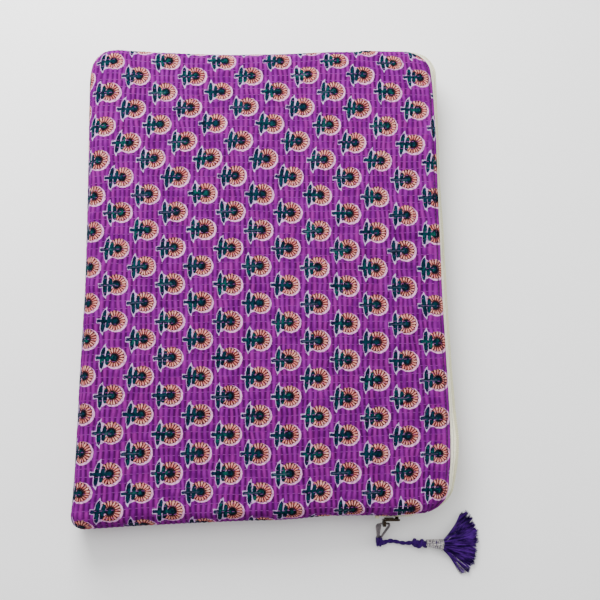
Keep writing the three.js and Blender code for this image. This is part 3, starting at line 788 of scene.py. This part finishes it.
def dashes(paths, radius, ups, sides=4, taper=0.45):
    """Many short threads at once: paths is (N, M, 3) and ups (N, 3)."""
    count, steps, _ = paths.shape
    tangent = unit(np.gradient(paths, axis=1))
    across = unit(np.cross(tangent, ups[:, None]))
    up = np.cross(across, tangent)
    scale = np.ones(steps)
    scale[[0, -1]] = taper
    ring = circle(sides, 1.0, math.pi / 4)
    r = np.reshape(radius, (-1, 1, 1, 1)) * scale[:, None, None]
    points = paths[:, :, None] + (across[:, :, None] * ring[:, :1] + up[:, :, None] * ring[:, 1:]) * r
    one = grid_faces(steps, sides, wrap=True)[:, ::-1]
    caps = np.array([list(range(sides)), list(range(steps * sides - 1, (steps - 1) * sides - 1, -1))])
    if sides == 4:
        one = np.concatenate([one, caps])
        caps = None
    offsets = np.arange(count) * steps * sides
    faces = (one[None] + offsets[:, None, None]).reshape(-1, 4).tolist()
    if caps is not None:
        faces += (caps[None] + offsets[:, None, None]).reshape(-1, sides).tolist()
    return points.reshape(-1, 3), faces


def spline(points, count, closed=False):
    """A smooth curve through the points, at an even spacing."""
    p = np.asarray(points, float)
    n = len(p)
    index = np.arange(n if closed else n - 1)
    t = np.linspace(0, 1, 40, endpoint=False)[:, None]
    pieces = []
    for i in index:
        if closed:
            a, b, c, d = p[(i - 1) % n], p[i], p[(i + 1) % n], p[(i + 2) % n]
        else:
            a, b, c, d = p[max(i - 1, 0)], p[i], p[i + 1], p[min(i + 2, n - 1)]
        curve = 2 * b + (c - a) * t + (2 * a - 5 * b + 4 * c - d) * t ** 2 + (3 * b - a - 3 * c + d) * t ** 3
        pieces.append(0.5 * curve)
    line = np.concatenate(pieces + [p[:1] if closed else p[-1:]])
    along = np.concatenate([[0], np.cumsum(np.linalg.norm(np.diff(line[:, :3], axis=0), axis=1))])
    stops = np.linspace(0, along[-1], count + 1 if closed else count)
    if closed:
        stops = stops[:-1]
    return np.stack([np.interp(stops, along, line[:, k]) for k in range(line.shape[1])], -1)


# ---- Materials ----

cotton_front = printed_cotton("printed_cotton_front")
cotton_back = printed_cotton("printed_cotton_back", shift_x=14.0, shift_y=9.0, seed=31.0)
quilt_thread = thread("quilt_thread", (0.155, 0.012, 0.18), (0.29, 0.042, 0.33), (0.6, 0.8), Sheen_Weight=0)
top_thread = thread("top_thread", (0.026, 0.001, 0.032), (0.065, 0.005, 0.076), (0.6, 0.8), Sheen_Weight=0.0)
lining_cloth = plain_cloth("lining_cloth", (0.55, 0.48, 0.33), (0.74, 0.68, 0.52), 0.6)
binding_cloth = plain_cloth("binding_cloth", (0.10, 0.006, 0.12), (0.17, 0.016, 0.19), 0.5)
# The tape's two darker lines, at 0.46 and 0.80 across it, are painted shade
tape_cloth = plain_cloth("tape_cloth", (0.82, 0.79, 0.60), (0.98, 0.95, 0.76), 0.7, (0.46, 0.80), 0.8)
coil_nylon = thread("coil_nylon", (0.64, 0.62, 0.40), (0.86, 0.84, 0.60), (0.25, 0.45), Coat_Weight=0.15)
stop_thread = thread("stop_thread", (0.55, 0.53, 0.34), (0.78, 0.76, 0.50), (0.5, 0.7))
bronze = metal("bronze", (0.012, 0.0085, 0.0062), (0.042, 0.030, 0.020), (0.25, 0.45), 0.30)
nickel = metal("nickel", (0.060, 0.052, 0.058), (0.19, 0.165, 0.175), (0.22, 0.40), 0.5)
violet_gloss = {"Sheen_Weight": 0.0, "Specular_IOR_Level": 0.10, "Specular_Tint": (0.55, 0.4, 1.0, 1)}
violet = thread("violet_thread", (0.007, 0.0002, 0.036), (0.06, 0.0075, 0.185), (0.35, 0.55), **violet_gloss)
violet_fan = thread(
    "violet_fan", (0.0036, 0.0001, 0.0210), (0.088, 0.0130, 0.245), (0.35, 0.55), (0.10, 15.0, 0.45),
    fan=(125.0, -210.1), **violet_gloss,
)
silver = thread(
    "silver_thread", (0.07, 0.06, 0.07), (0.90, 0.86, 0.84), (0.25, 0.42), (1.1, 1.6, 1.6), Metallic=0.25,
)


# ---- Front and back quilted panels ----


def with_lip(obj):
    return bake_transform(obj)


front = quilted_panel("front_quilt", True, cotton_front)
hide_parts("front_outer_panel", "front_outer_panel_lip", "front_batting", "front_batting_lip")
with_lip(front)

back = quilted_panel("back_quilt", False, cotton_back)
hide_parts("back_outer_panel", "back_batting")
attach(back, "sleeve")


def quilt_stitches(name, top, material):
    """The running stitches: a short thread across each pucker, on every row."""
    seed = 0 if top else BACK_SEED
    c, r = np.meshgrid(np.arange(-39, 37) + 0.5, np.arange(-34, 35), indexing="ij")
    x, y = c * COLUMN, r * ROW
    for _ in range(8):
        x = x - (column_phase(x, y, seed) - c) * COLUMN
        y = y - (row_phase(x, y, seed) - r) * ROW
    out, _, extent, turned = fold(x, y)[4:]
    clear = np.where(turned > LEG_TURN + 0.1, 2.0, 4.8)      # of the closed seam, and of the hem
    inside = (extent - out > clear) & (hashed(c, r, 5) > 0.03)
    x, y = x[inside], y[inside]
    length = 1.35 + 0.4 * (hashed(x, y, 9) - 0.5)
    slant = 0.35 * (hashed(x, y, 15) - 0.5)
    steps = np.array([-1.0, -0.45, 0.45, 1.0])
    px = x[:, None] + length[:, None] * steps
    py = y[:, None] + slant[:, None] * steps + 0.12 * (hashed(x, y, 17)[:, None] - 0.5)
    lift = quilting(px, py, 0.0, seed)
    base = lift.min(1, keepdims=True)
    over = np.array([-0.18, 0.12, 0.12, -0.18])
    lift = 0.45 * lift + 0.55 * (base + 0.18) + over
    if not top:
        out, flat = fold(px, py)[4:6]
        level = 1 - smooth((out - flat) / 4)
        lift = np.minimum(lift - level * 0.5, np.where(level > 0.5, -0.15, 9.0))
    paths = on_sleeve(px, py, 0.0, lift, top)
    above = on_sleeve(x, y, 0.0, 2.0, top) - on_sleeve(x, y, 0.0, 0.0, top)
    points, faces = dashes(paths, STITCH, unit(above))
    return make_mesh(name, points, faces, material)


front_stitches = quilt_stitches("front_quilt_stitches", True, quilt_thread)
with_lip(front_stitches)
back_stitches = quilt_stitches("back_quilt_stitches", False, quilt_thread)
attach(back_stitches, "sleeve")


LINING_FACES = 4.72, 5.35       # how deep the lining's two faces lie below the panel's own face


def lining(name, top):
    """The lining, a thin quilted-through cloth inside the padding."""
    x, y = cloth_lines()
    picked = np.ix_(*every(x.shape, (5, 4)))
    x, y = x[picked], y[picked]
    rows, columns = x.shape
    ripple = 0.10 * np.cos(math.tau * y / ROW) + 0.08 * wave_noise(x, y, 20, 51)
    face, inner = (on_sleeve(x, y, d, -np.abs(ripple), top).reshape(-1, 3) for d in LINING_FACES)
    ring = border(rows, columns)
    nxt = np.roll(ring, -1)
    faces = grid_faces(rows, columns).tolist()
    faces += grid_faces(rows, columns, start=len(face))[:, ::-1].tolist()
    faces += vec(nxt, ring, ring + len(face), nxt + len(face)).tolist()
    if not top:
        faces = [f[::-1] for f in faces]
    return make_mesh(name, np.concatenate([face, inner]), faces, lining_cloth)


front_lining = lining("front_lining_cloth", True)
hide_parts("front_lining", "front_lining_lip")
with_lip(front_lining)
back_lining = lining("back_lining_cloth", False)
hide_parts("back_lining")
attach(back_lining, "sleeve")

# ---- Zip ----

TAPE_DEPTH = 1.2                # of the tape below the panel's face
TAPE_START, MOUTH_TAPE = 0.5, 4.2                             # what shows of the tape's width at the mouth
COIL_OFFSET, COIL_WIDTH = 2.6, 2.6
ZIP_START = 87.0                # along X, where the coils begin
TRACK_Y = HALF_Y - TAPE_DEPTH * math.sin(LEG_TURN)
SLIDER_TRACK = 1.68             # how far in from the pattern the zip runs under the slider


def edge_line(leg, corner, straight, side):
    """Stations along one leg, round its corner, along a long side and back by the other corner and leg: plan
    point and outward normal. side is 1 at the mouth and -1 at the closed side."""
    radius, x, y = (MOUTH_CORNER, MOUTH_X, MOUTH_Y) if side > 0 else (CLOSED_CORNER, CLOSED_X, CLOSED_Y)
    out_x, out_y = side * np.sin(corner), -np.cos(corner)
    near = vec(leg, -HALF_Y, 0, -1)
    bend = vec(x + radius * out_x, radius * out_y - y, out_x, out_y)
    across = vec(side * HALF_X, straight, side, 0)
    flip = np.array([1, -1, 1, -1])
    return np.concatenate([near, bend, across, (bend * flip)[::-1], (near * flip)[::-1]])


def mouth_line(step, start=ZIP_START):
    """Stations from one leg's end round the mouth to the other's, and a fifth number, the spread, which is 0
    on the legs and 1 along the mouth."""
    leg = np.arange(start, MOUTH_X, step)
    corner = np.arange(0, MOUTH_CORNER * math.pi / 2, step) / MOUTH_CORNER
    straight = np.arange(-MOUTH_Y, MOUTH_Y + 1e-6, 2 * MOUTH_Y / round(2 * MOUTH_Y / step))
    turning = smooth(corner / (math.pi / 2))
    spread = np.concatenate([0 * leg, turning, 1 + 0 * straight, turning[::-1], 0 * leg])
    return np.column_stack([edge_line(leg, corner, straight, 1), spread])


def mouth_turn(spread):
    """How far the open rim turns over at its hem."""
    return LEG_TURN + (MOUTH_TURN - LEG_TURN) * spread


def wall(stations, depth, turned, top):
    """A point of a panel at a depth below its face, where its rim has turned by an angle."""
    x, y, nx, ny, spread = stations.T
    inset = RIM * np.sin(mouth_turn(spread)) - (RIM - depth) * np.sin(turned)
    px, py, pz = x - nx * inset, y - ny * inset, MID + (MID - depth) * np.cos(turned)
    dx, dy, dz = soften(px, py, top)
    pz = pz + (dz * smooth((pz - MID) / 14) if top else 0)
    return vec(px + dx, py + dy, pz if top else HEIGHT - pz)


# How steeply the mouth's tapes hang: place along Y, degrees from level
TAPE_TILT = (
    (-189, 90), (-186, 84), (-180, 74), (-171, 54), (-161, 40), (-150, 27), (-140, 16), (-130, 17),
    (-120, 28), (-108, 41), (-87, 49), (-17, 52), (24, 56), (75, 68), (125, 66), (150, 58), (170, 44),
    (183, 46), (187.5, 56), (189, 90),
)


def tape_frame(stations, top):
    """The tape's edge at the panel, the way it hangs, the way its face looks, and its reach to the coil."""
    x, y, nx, ny, spread = stations.T
    edge = wall(stations, TAPE_DEPTH, mouth_turn(spread), top)
    # The slider holds the zip straight over its run, a little outside the wandering cloth
    held = smooth((x - 85) / 8) * (1 - smooth((x - 109) / 9)) * (y < 0) * (1 - spread)
    edge[:, 1] += held * (SLIDER_TRACK - TRACK_Y - edge[:, 1])
    tilt = np.interp(y, *zip(*TAPE_TILT))
    if not top:
        tilt = np.maximum(tilt, 56) + 3 * wave_noise(y, x, 120, 62, 4) * spread
    tilt = np.radians(tilt)
    flip = 1 if top else -1
    along = vec(nx * np.cos(tilt), ny * np.cos(tilt), -np.sin(tilt) * flip)
    face = vec(nx * np.sin(tilt), ny * np.sin(tilt), np.cos(tilt) * flip)
    leg_reach = np.abs(edge[:, 2] - MID) - COIL_OFFSET
    reach = leg_reach + (TAPE_START + MOUTH_TAPE + 0.3 + COIL_WIDTH / 2 - leg_reach) * spread
    return edge, along, face, reach


def zip_half(top):
    """One half of the zip: its woven tape with two raised ridges, the coil, and the coil's stitching."""
    side = "front" if top else "back"
    stations = mouth_line(1.2)
    edge, along, face, reach = tape_frame(stations, top)
    near, far = 0.15, reach + 0.9
    ripple = 0.16 * wave_noise(stations[:, 1], stations[:, 0], 30, 63 if top else 64, 5)
    t = np.array([0, 0.03, 0.30, 0.34, 0.38, 0.42, 0.58, 0.62, 0.66, 0.97, 1.0])
    rise = np.array([0.0, 0.22, 0.22, 0.34, 0.34, 0.22, 0.22, 0.34, 0.22, 0.20, 0.0])
    across = near + (far - near)[:, None] * t
    flat = edge[:, None] + along[:, None] * across[..., None]
    upper = flat + face[:, None] * (rise + ripple[:, None])[..., None]
    low = flat + face[:, None] * (-rise * 0.8 + ripple[:, None])[..., None]
    loops = np.concatenate([upper, low[:, -2:0:-1]], 1)
    strip = np.tile(np.concatenate([t, t[-2:0:-1]])[:, None] * (1, 0, 0), (len(loops), 1))
    tape = make_mesh(f"zip_tape_{side}_woven", *tube(loops, top), tape_cloth, strip=strip)

    # Coil: a flattened helix, its turns leaning over the tape's edge
    pitch, filament, per_turn = 1.45, 0.36, 12
    fine = mouth_line(pitch / per_turn)
    edge, along, face, reach = tape_frame(fine, top)
    rise = np.interp(np.linspace(0, 1, len(fine)), np.linspace(0, 1, len(ripple)), ripple)
    centre = edge + along * (reach + 0.15)[:, None] + face * 0.55 + face * rise[:, None]
    phase = np.arange(len(fine)) * math.tau / per_turn
    wide = COIL_WIDTH / 2 - filament
    path = centre + along * (wide * np.cos(phase))[:, None] + face * (0.62 * np.sin(phase))[:, None]
    outward = along * np.cos(phase)[:, None] + face * (0.6 * np.sin(phase))[:, None]
    tangent = unit(np.gradient(path, axis=0))
    a = unit(np.cross(tangent, outward))
    coil_points, coil_faces = sweep(path, a, np.cross(a, tangent), circle(5, filament))
    coil = make_mesh(f"zip_coil_{side}_wound", coil_points, coil_faces, coil_nylon)

    # Two rows of chain stitch hold the coil
    start = np.arange(4, len(fine) - 16, 14)
    index = start[:, None] + np.array([0, 4, 8, 12])
    over = np.array([0.60, 0.78, 0.78, 0.60])[:, None]
    rows = [
        dashes(centre[index] + along[index] * offset + face[index] * over, STITCH, face[start])
        for offset in (-0.55, 0.35)
    ]
    sewn = make_mesh(f"zip_sewing_{side}", *gather(rows), stop_thread)
    return tape, coil, sewn


front_tape, front_coil, front_sewing = zip_half(True)
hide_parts("zip_tape_front", "zip_tape_leg_slider_end", "zip_tape_leg_far_end")
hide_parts("zip_coil_front", "zip_coil_leg_slider_end", "zip_coil_leg_far_end")
back_tape, back_coil, back_sewing = zip_half(False)
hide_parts("zip_tape_back")
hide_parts("zip_coil_back")
for piece, finish in ((front_tape, "zip_tape"), (front_coil, "zip_coil"), (front_sewing, "zip_tape")):
    with_lip(piece)
for piece, finish in ((back_tape, "zip_tape"), (back_coil, "zip_coil"), (back_sewing, "zip_tape")):
    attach(piece, "sleeve")


def edge_stitches(name, top):
    """The topstitching just inside the mouth edge: real threads lying in their groove."""
    stations = mouth_line(0.5, 86.0)
    turned = np.arcsin(np.clip(np.sin(mouth_turn(stations[:, 4])) - HEM / RIM, 0, 1))
    line = wall(stations, 0.0, turned, top)
    rise = np.cos(turned) * (1 if top else -1)
    out = vec(stations[:, 2] * np.sin(turned), stations[:, 3] * np.sin(turned), rise)
    start = np.arange(0, len(line) - 8, 6)
    index = start[:, None] + np.array([0, 1, 3, 4])
    sunk = np.array([-0.5, -0.16, -0.16, -0.5])[:, None] - (0.0 if top else 0.25)
    sideways = vec(stations[:, 2], stations[:, 3], 0)
    wander = 0.22 * (hashed(start, 3, 5) - 0.5)[:, None, None]
    paths = line[index] + out[index] * sunk + sideways[index] * wander
    return make_mesh(name, *dashes(paths, 0.24, out[start], sides=6), top_thread)


front_topstitch = edge_stitches("front_topstitch_threads", True)
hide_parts("front_topstitch")
with_lip(front_topstitch)
back_topstitch = edge_stitches("back_topstitch_threads", False)
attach(back_topstitch, "sleeve")


TACK_X = 85.0                   # along X, where the bar tacks close the zip


def bar_tack(name, side):
    """The zip's end: a dense band of thread wound over both tapes."""
    r = np.random.default_rng(90 + side)
    steps, turns = 220, 13
    t = np.linspace(0, 1, steps)
    phase = math.tau * turns * t
    path = vec(
        TACK_X + (t - 0.5) * 2.1 + 0.05 * r.standard_normal(steps),
        side * TRACK_Y + 0.95 * np.cos(phase),
        MID + 3.25 * np.clip(np.sin(phase) * 1.15, -1, 1),
    )
    wound = strand(path, (1.0, 0.0, 0.0), 6, 0.24)
    core_path = vec(TACK_X, side * TRACK_Y, MID + np.linspace(-3.3, 3.3, 7))
    across, up = np.tile([1.0, 0.0, 0.0], (7, 1)), np.tile([0.0, 1.0, 0.0], (7, 1))
    core = sweep(core_path, across, up, rounded_strip(2.4, 1.5), [0.8, 1, 1, 1, 1, 1, 0.8])
    return make_mesh(name, *gather([wound, core]), stop_thread)


def tape_end(name, side):
    """The tapes' turned-in ends: they fill the parting seam behind the bar tack."""
    x = np.linspace(PARTING_START + 1.0, 86.4, 18)
    turned = rim_turn(x, 0 * x)
    loops = []
    for depth, heights in ((2.35, np.linspace(-1, 1, 7)), (2.85, np.linspace(1, -1, 7))):   # its two faces
        half = (MID - depth) * np.cos(turned) + 0.2
        for v in heights:
            y = side * (HALF_Y - depth * np.sin(turned) - 0.35 * (1 - v * v))
            upper, lower = soften(x, y, True), soften(x, y, False)
            share = (1 + v) / 2
            loops.append(vec(
                x + share * upper[0] + (1 - share) * lower[0], y + share * upper[1] + (1 - share) * lower[1],
                MID + v * half,
            ))
    return make_mesh(name, *tube(np.stack(loops, 1), side < 0), tape_cloth)


for end, side in (("slider_end", -1), ("far_end", 1)):
    tack = bar_tack(f"zip_bar_tack_{end}", side)
    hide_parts(f"zip_stop_{end}")
    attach(tack, "sleeve")
    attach(tape_end(f"zip_tape_end_{end}", side), "sleeve")


BINDING_IN = 7.25               # from the closed edge to the binding's middle


def binding():
    """Bias binding folded over the seam allowance inside the closed sides."""
    step = 1.5
    leg, straight = np.arange(65.0, CLOSED_X, -step), np.arange(-CLOSED_Y, CLOSED_Y, step)[1:]
    line = edge_line(leg, np.linspace(0, math.pi / 2, 14)[1:], straight, -1)
    normal = vec(line[:, 2], line[:, 3], 0)
    centre = vec(line[:, 0], line[:, 1], MID) - normal * BINDING_IN
    along = np.arange(len(line)) * step
    centre[:, 2] += 0.22 * wave_noise(along, 0 * along, 26, 71)
    centre -= normal * (0.12 * wave_noise(along, 0 * along, 9, 72))[:, None]
    width = 1 + 0.04 * wave_noise(along, 0 * along, 5, 73)
    up = np.tile([0, 0, 1.0], (len(line), 1))
    points, faces = sweep(centre, -normal, up, rounded_strip(3.0, 1.2, 4), width)
    return make_mesh("seam_binding_cloth", points, faces, binding_cloth)


seam_binding = binding()
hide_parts("seam_binding")
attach(seam_binding, "sleeve")

# ---- Slider and pull ----

EDGE_ROUNDING = 0.00028         # in metres

for node in ("slider_body", "slider_crown"):
    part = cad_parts[node]
    for s in part.material_slots:
        s.material = bronze
    soft_edge = part.modifiers.new("rounded edges", "BEVEL")
    soft_edge.width = EDGE_ROUNDING
    soft_edge.segments = 2
    soft_edge.limit_method = "ANGLE"
    soft_edge.angle_limit = math.radians(35)

PIVOT = np.array([90.4, -192.661, 16.5])                      # the crown's bar
DROP = math.radians(44)         # how steeply the pull hangs


def pull_ring():
    """The teardrop loop of flat strip: one leg edge on, the other twisted to show its face. Each stop is a
    place across and down, half the strip's width and its twist."""
    stops = np.array([
        [0.0, 0.0, 0.9, 0.5], [3.6, 0.9, 1.2, 0.0], [3.9, 2.8, 1.4, 0.0], [1.5, 8.5, 1.3, 0.0],
        [-1.2, 15.2, 1.1, 0.0], [-2.3, 17.6, 1.0, 0.4], [-3.3, 16.4, 1.1, 1.0], [-3.9, 9.0, 1.6, 1.0],
        [-4.1, 2.8, 2.2, 1.0], [-3.1, 0.7, 1.5, 0.8],
    ])
    line = spline(stops, 170, closed=True)
    path = vec(line[:, 0], line[:, 1], 0)
    tangent = unit(np.roll(path, -1, 0) - np.roll(path, 1, 0))
    across = vec(tangent[:, 1], -tangent[:, 0], 0)
    upward = np.tile([0.0, 0.0, 1.0], (len(path), 1))
    twist = (line[:, 3] * math.pi / 2)[:, None]
    wide = upward * np.cos(twist) + across * np.sin(twist)
    thin = across * np.cos(twist) - upward * np.sin(twist)
    section = np.stack([rounded_strip(2 * w, 1.1, 3) for w in line[:, 2]])
    points, faces = sweep(path, wide, thin, section, closed=True)
    x, y, z = points[:, 0], -points[:, 1], points[:, 2]
    c, s = math.cos(DROP), math.sin(DROP)
    points = vec(x, y * c - z * s, y * s + z * c) + PIVOT
    return make_mesh("pull_teardrop", points, faces, nickel)


pull = pull_ring()
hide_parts("pull_loop")
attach(pull, "pull")

# ---- Tassel ----

HITCH = np.array([88.3, -208.3, 3.5])
CORD_ROUTE = np.array([
    [88.3, -208.7, 3.4], [90.8, -208.4, 3.2], [93.6, -207.4, 2.7], [97.0, -207.0, 2.2],
    [101.0, -207.6, 2.0], [105.0, -208.5, 2.2], [109.0, -208.8, 2.9], [112.0, -208.6, 3.7],
    [115.0, -208.7, 4.2], [119.0, -209.4, 4.3], [122.8, -209.9, 4.3],
])
KNOT_START, KNOT_END = np.array([112.6, -208.1, 4.1]), np.array([124.4, -210.0, 4.4])
NECK_START, NECK_END = np.array([123.6, -208.6, 4.4]), np.array([137.2, -210.8, 4.4])
SKIRT_CENTRE = np.array([133.6, -210.1, 0.0])                # the threads fan out from here
ALONG_X, UP = (1.0, 0.0, 0.0), (0.0, 0.0, 1.0)


def tassel_cord():
    """Two plies twisted round each other along the cord's route."""
    path = spline(CORD_ROUTE, 130)
    share = np.linspace(0, 1, len(path))
    thick = 1 - 0.10 * smooth((share - 0.3) / 0.1) * (1 - smooth((share - 0.55) / 0.15))
    along = np.concatenate([[0], np.cumsum(np.linalg.norm(np.diff(path, axis=0), axis=1))])
    across, up = frames(path, UP)
    made = []
    for k in range(2):
        a = (math.tau * (along / 9.5 + k / 2) + 0.6)[:, None]
        line = path + (across * np.cos(a) + up * np.sin(a)) * (0.62 * thick)[:, None]
        made.append(strand(line, UP, 10, 1.0, 1.06 * thick))
    return make_mesh("tassel_twisted_cord", *gather(made), violet), spline(CORD_ROUTE, 32)


def cord_hitch():
    """Two strands looped over the pull's tip and wound round themselves beyond it."""
    tip = HITCH + (-0.4, 3.0, 0.3)
    made = []
    a = np.linspace(-0.35 * math.pi, 1.6 * math.pi, 40)
    for offset in (-1.2, 0.9):
        ring = vec(
            tip[0] + offset + 0.3 * np.sin(a), tip[1] - 0.35 + 1.9 * np.cos(a), tip[2] + 1.8 * np.sin(a),
        )
        ring[:, 2] = np.maximum(ring[:, 2], 1.2)
        made.append(strand(ring, ALONG_X, 8, 1.08))
    a = np.linspace(0, math.tau * 2.4, 110)
    t = np.linspace(-1, 1, len(a))
    swell = np.sqrt(np.clip(1 - (t * 0.86) ** 2, 0, 1))
    round_x, round_y, round_z = 0.3 * np.cos(a), 1.75 * swell * np.cos(a), 1.80 * swell * np.sin(a)
    wind = HITCH + vec(t * 2.5 + round_x, round_y, round_z)
    made.append(strand(wind, ALONG_X, 9, 1.10))
    core = HITCH + vec(np.linspace(-2.6, 3.0, 9), 0, 0)
    made.append(strand(core, UP, 10, 1.8, np.array([0.5, 0.8, 1, 1, 1, 1, 0.95, 0.8, 0.5])))
    return make_mesh("cord_hitch_wound", *gather(made), violet)


class Axis:
    """A straight axis between two points, with directions to its side and up."""

    def __init__(self, start, end):
        self.start, self.length = start, np.linalg.norm(end - start)
        self.ahead = unit(end - start)
        self.side = unit(np.cross(self.ahead, UP))
        self.up = np.cross(self.side, self.ahead)

    def wind(self, t, radius, a):
        """Points at shares t of the length, at a radius and an angle round the axis."""
        around = self.side * np.cos(a)[:, None] + self.up * np.sin(a)[:, None]
        return self.start + self.ahead * (t * self.length)[:, None] + around * np.reshape(radius, (-1, 1))


def tassel_knot():
    """An overhand knot pulled tight: the cord's turns, with one strand crossing over them."""
    axis = Axis(KNOT_START, KNOT_END)
    t = np.linspace(0.08, 0.93, 120)
    # Two lobes, one behind the other, with a narrower waist between them
    waist = 1 - 0.20 * np.exp(-((t - 0.58) / 0.09) ** 2)
    swell = np.sin(math.pi * np.clip((t - 0.02) / 0.98, 0, 1)) ** 0.45 * waist
    a = math.tau * 2.1 * t + 0.4
    wind = axis.wind(t + 0.04 * np.sin(a + 0.7), 2.35 * swell, a)
    over = axis.wind(t, 2.85 * swell ** 1.3, 0.9 - math.tau * 0.62 * t)
    core = axis.wind(np.linspace(0.02, 0.98, 12), 0.0, np.zeros(12))
    thick = 2.3 * np.sin(math.pi * np.linspace(0.12, 0.90, 12)) ** 0.5
    return make_mesh("tassel_tied_knot", *gather([
        strand(wind, axis.ahead, 10, 1.55, 0.8 + 0.28 * swell),
        strand(over, axis.up, 9, 1.15, 0.75 + 0.25 * swell),
        strand(core, axis.up, 12, 1.0, thick),
    ]), violet)


# Shares of the neck's length, and the silvery thread's and the violet core's radius at each
NECK_STOPS = 0, 0.12, 0.35, 0.75, 0.93, 1
NECK_RADII = 1.9, 2.3, 2.65, 3.35, 3.75, 3.45
CORE_RADII = 1.8, 2.15, 2.5, 3.2, 3.6, 3.3


def tassel_neck():
    """The neck: silvery thread wound closely round the violet bundle, swelling towards the skirt."""
    axis = Axis(NECK_START, NECK_END)
    turns, steps = 14, 28
    t = np.linspace(0, 1, turns * steps)
    a = t * turns * math.tau
    wobble = 0.18 * wave_noise(t * 60, a * 0.1, 7, 81)
    shift = 0.36 * np.sin(a + 1.0) + 0.22 * np.sin(a * 0.37) + 0.2 * np.sin(a * 0.21 + 1)
    line = axis.wind(t + shift / axis.length, np.interp(t, NECK_STOPS, NECK_RADII) + wobble, a)
    made = [strand(line, axis.ahead, 6, 0.40)]
    u = np.linspace(0.08, 0.95, 30)
    for heading, tilt in ((0.9, 0.5), (1.9, -0.3), (2.6, 0.4), (-0.4, -0.6)):
        cross = axis.wind(u, np.interp(u, NECK_STOPS, NECK_RADII) + 0.42, heading + tilt * u * 2.2)
        made.append(strand(cross, axis.up, 6, 0.30))
    stops = np.linspace(0, 1, 14)
    core = axis.wind(stops, 0.0, 0 * stops)
    core = strand(core, axis.up, 16, 1.0, np.interp(stops, NECK_STOPS, CORE_RADII))
    bound = make_mesh("tassel_bound_threads", *core, violet)
    return make_mesh("tassel_wrapped_neck", *gather(made), silver), bound


def strands(count, seed, radius, edge=None):
    """Threads of the skirt, in locks, from the neck's end fanning over the ground."""
    r = np.random.default_rng(seed)
    locks = 30
    lock_heading = np.linspace(-51, 46, locks) + r.uniform(-1.6, 1.6, locks)
    lock_reach = r.uniform(0.92, 1.04, locks)
    lock_curl = r.uniform(-1.0, 1.0, locks)
    lock = r.integers(0, locks, count) if edge is None else r.choice(edge, count)
    heading = np.radians(lock_heading[lock] + r.normal(0, 1.8, count))
    heading = np.clip(heading, math.radians(-54), math.radians(52))
    reach = (31.2 + 2.2 * np.sin(heading)) * lock_reach[lock] * r.uniform(0.88, 1.02, count)
    fan = np.sin(heading) / math.sin(math.radians(56))
    angle, size = r.uniform(0, math.tau, count), 3.2 * np.sqrt(r.uniform(0, 1, count))
    across = size * (0.55 * fan + 0.45 * np.cos(angle))
    start = NECK_END + vec(-1, across, size * np.sin(angle) * 0.95)
    end = SKIRT_CENTRE + vec(reach * np.cos(heading), reach * np.sin(heading), 0)
    layer = r.uniform(0, 1, count)
    end[:, 2] = 0.45 + layer ** 1.4 * (4.6 - 2.6 * np.abs(fan))
    middle = start * 0.52 + end * 0.48
    middle[:, 1] = start[:, 1] + (end[:, 1] - start[:, 1]) * 0.36
    middle[:, 2] = 1.2 + layer * 6.0 * (1 - 0.25 * np.abs(fan))
    t = np.linspace(0, 1, 10)[None, :, None]
    path = (1 - t) ** 2 * start[:, None] + 2 * t * (1 - t) * middle[:, None] + t ** 2 * end[:, None]
    sideways = vec(-np.sin(heading), np.cos(heading), 0)[:, None]
    curl = lock_curl[lock][:, None, None] * 0.9 + r.normal(0, 0.25, (count, 1, 1))
    path = path + sideways * curl * np.sin(math.pi * (t * 1.2)) * t
    path[..., 2:] += 0.25 * np.sin(t * 9 + r.uniform(0, 6, (count, 1, 1))) * t
    path[..., 2] = np.maximum(path[..., 2], 0.42)
    return dashes(path, radius * r.uniform(0.8, 1.2, count), np.tile(UP, (count, 1)), taper=0.7)


cord, cord_path = tassel_cord()
hitch, knot = cord_hitch(), tassel_knot()
neck, bound = tassel_neck()
skirt = make_mesh("tassel_skirt_threads", *strands(1700, 101, 0.225), violet_fan)
glints = make_mesh("tassel_silver_threads", *strands(46, 102, 0.13, edge=(0, 1, 2, 28, 29)), silver)
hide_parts("tassel_cord")
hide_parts("cord_hitch")
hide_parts("tassel_knot")
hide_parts("tassel_neck")
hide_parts("tassel_skirt")
for piece in (cord, knot, bound, skirt):
    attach(piece, "tassel")
for piece in (neck, glints):
    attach(piece, "tassel")
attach(hitch, "pull")

# ---- Floor and light ----


def floor_and_light():
    bpy.ops.mesh.primitive_plane_add(size=6, location=(0, 0, 0))
    floor = bpy.context.object
    floor.name = "floor"
    paint = Paint("floor_white", Roughness=0.9)
    x, y, z = paint.place()
    grain = paint.noise(paint.join(x, y, z), 0.02, 2.0)
    paint.colour(paint.mix(grain, (0.93, 0.93, 0.93), (0.95, 0.95, 0.95)))
    floor.data.materials.append(paint.material)
    world = bpy.data.worlds.new("world")
    bpy.context.scene.world = world
    world.use_nodes = True
    world.node_tree.nodes["Background"].inputs["Color"].default_value = (1, 1, 1, 1)
    world.node_tree.nodes["Background"].inputs["Strength"].default_value = 0.56
    for name, place, size, watts in (
        ("key", (-0.22, 0.64, 0.52), 0.5, 16),
        ("fill", (-0.60, 0.20, 1.20), 1.3, 4),
        ("top", (-0.1, 0.45, 1.4), 1.2, 11.5),
        ("mouth side", (0.80, -0.05, 0.34), 0.5, 1.9),
    ):
        light = bpy.data.objects.new(name, bpy.data.lights.new(name, "AREA"))
        light.data.size = size
        light.data.energy = watts
        light.location = place
        light.rotation_euler = (-Vector(place)).to_track_quat("-Z", "Y").to_euler()
        bpy.context.scene.collection.objects.link(light)


floor_and_light()
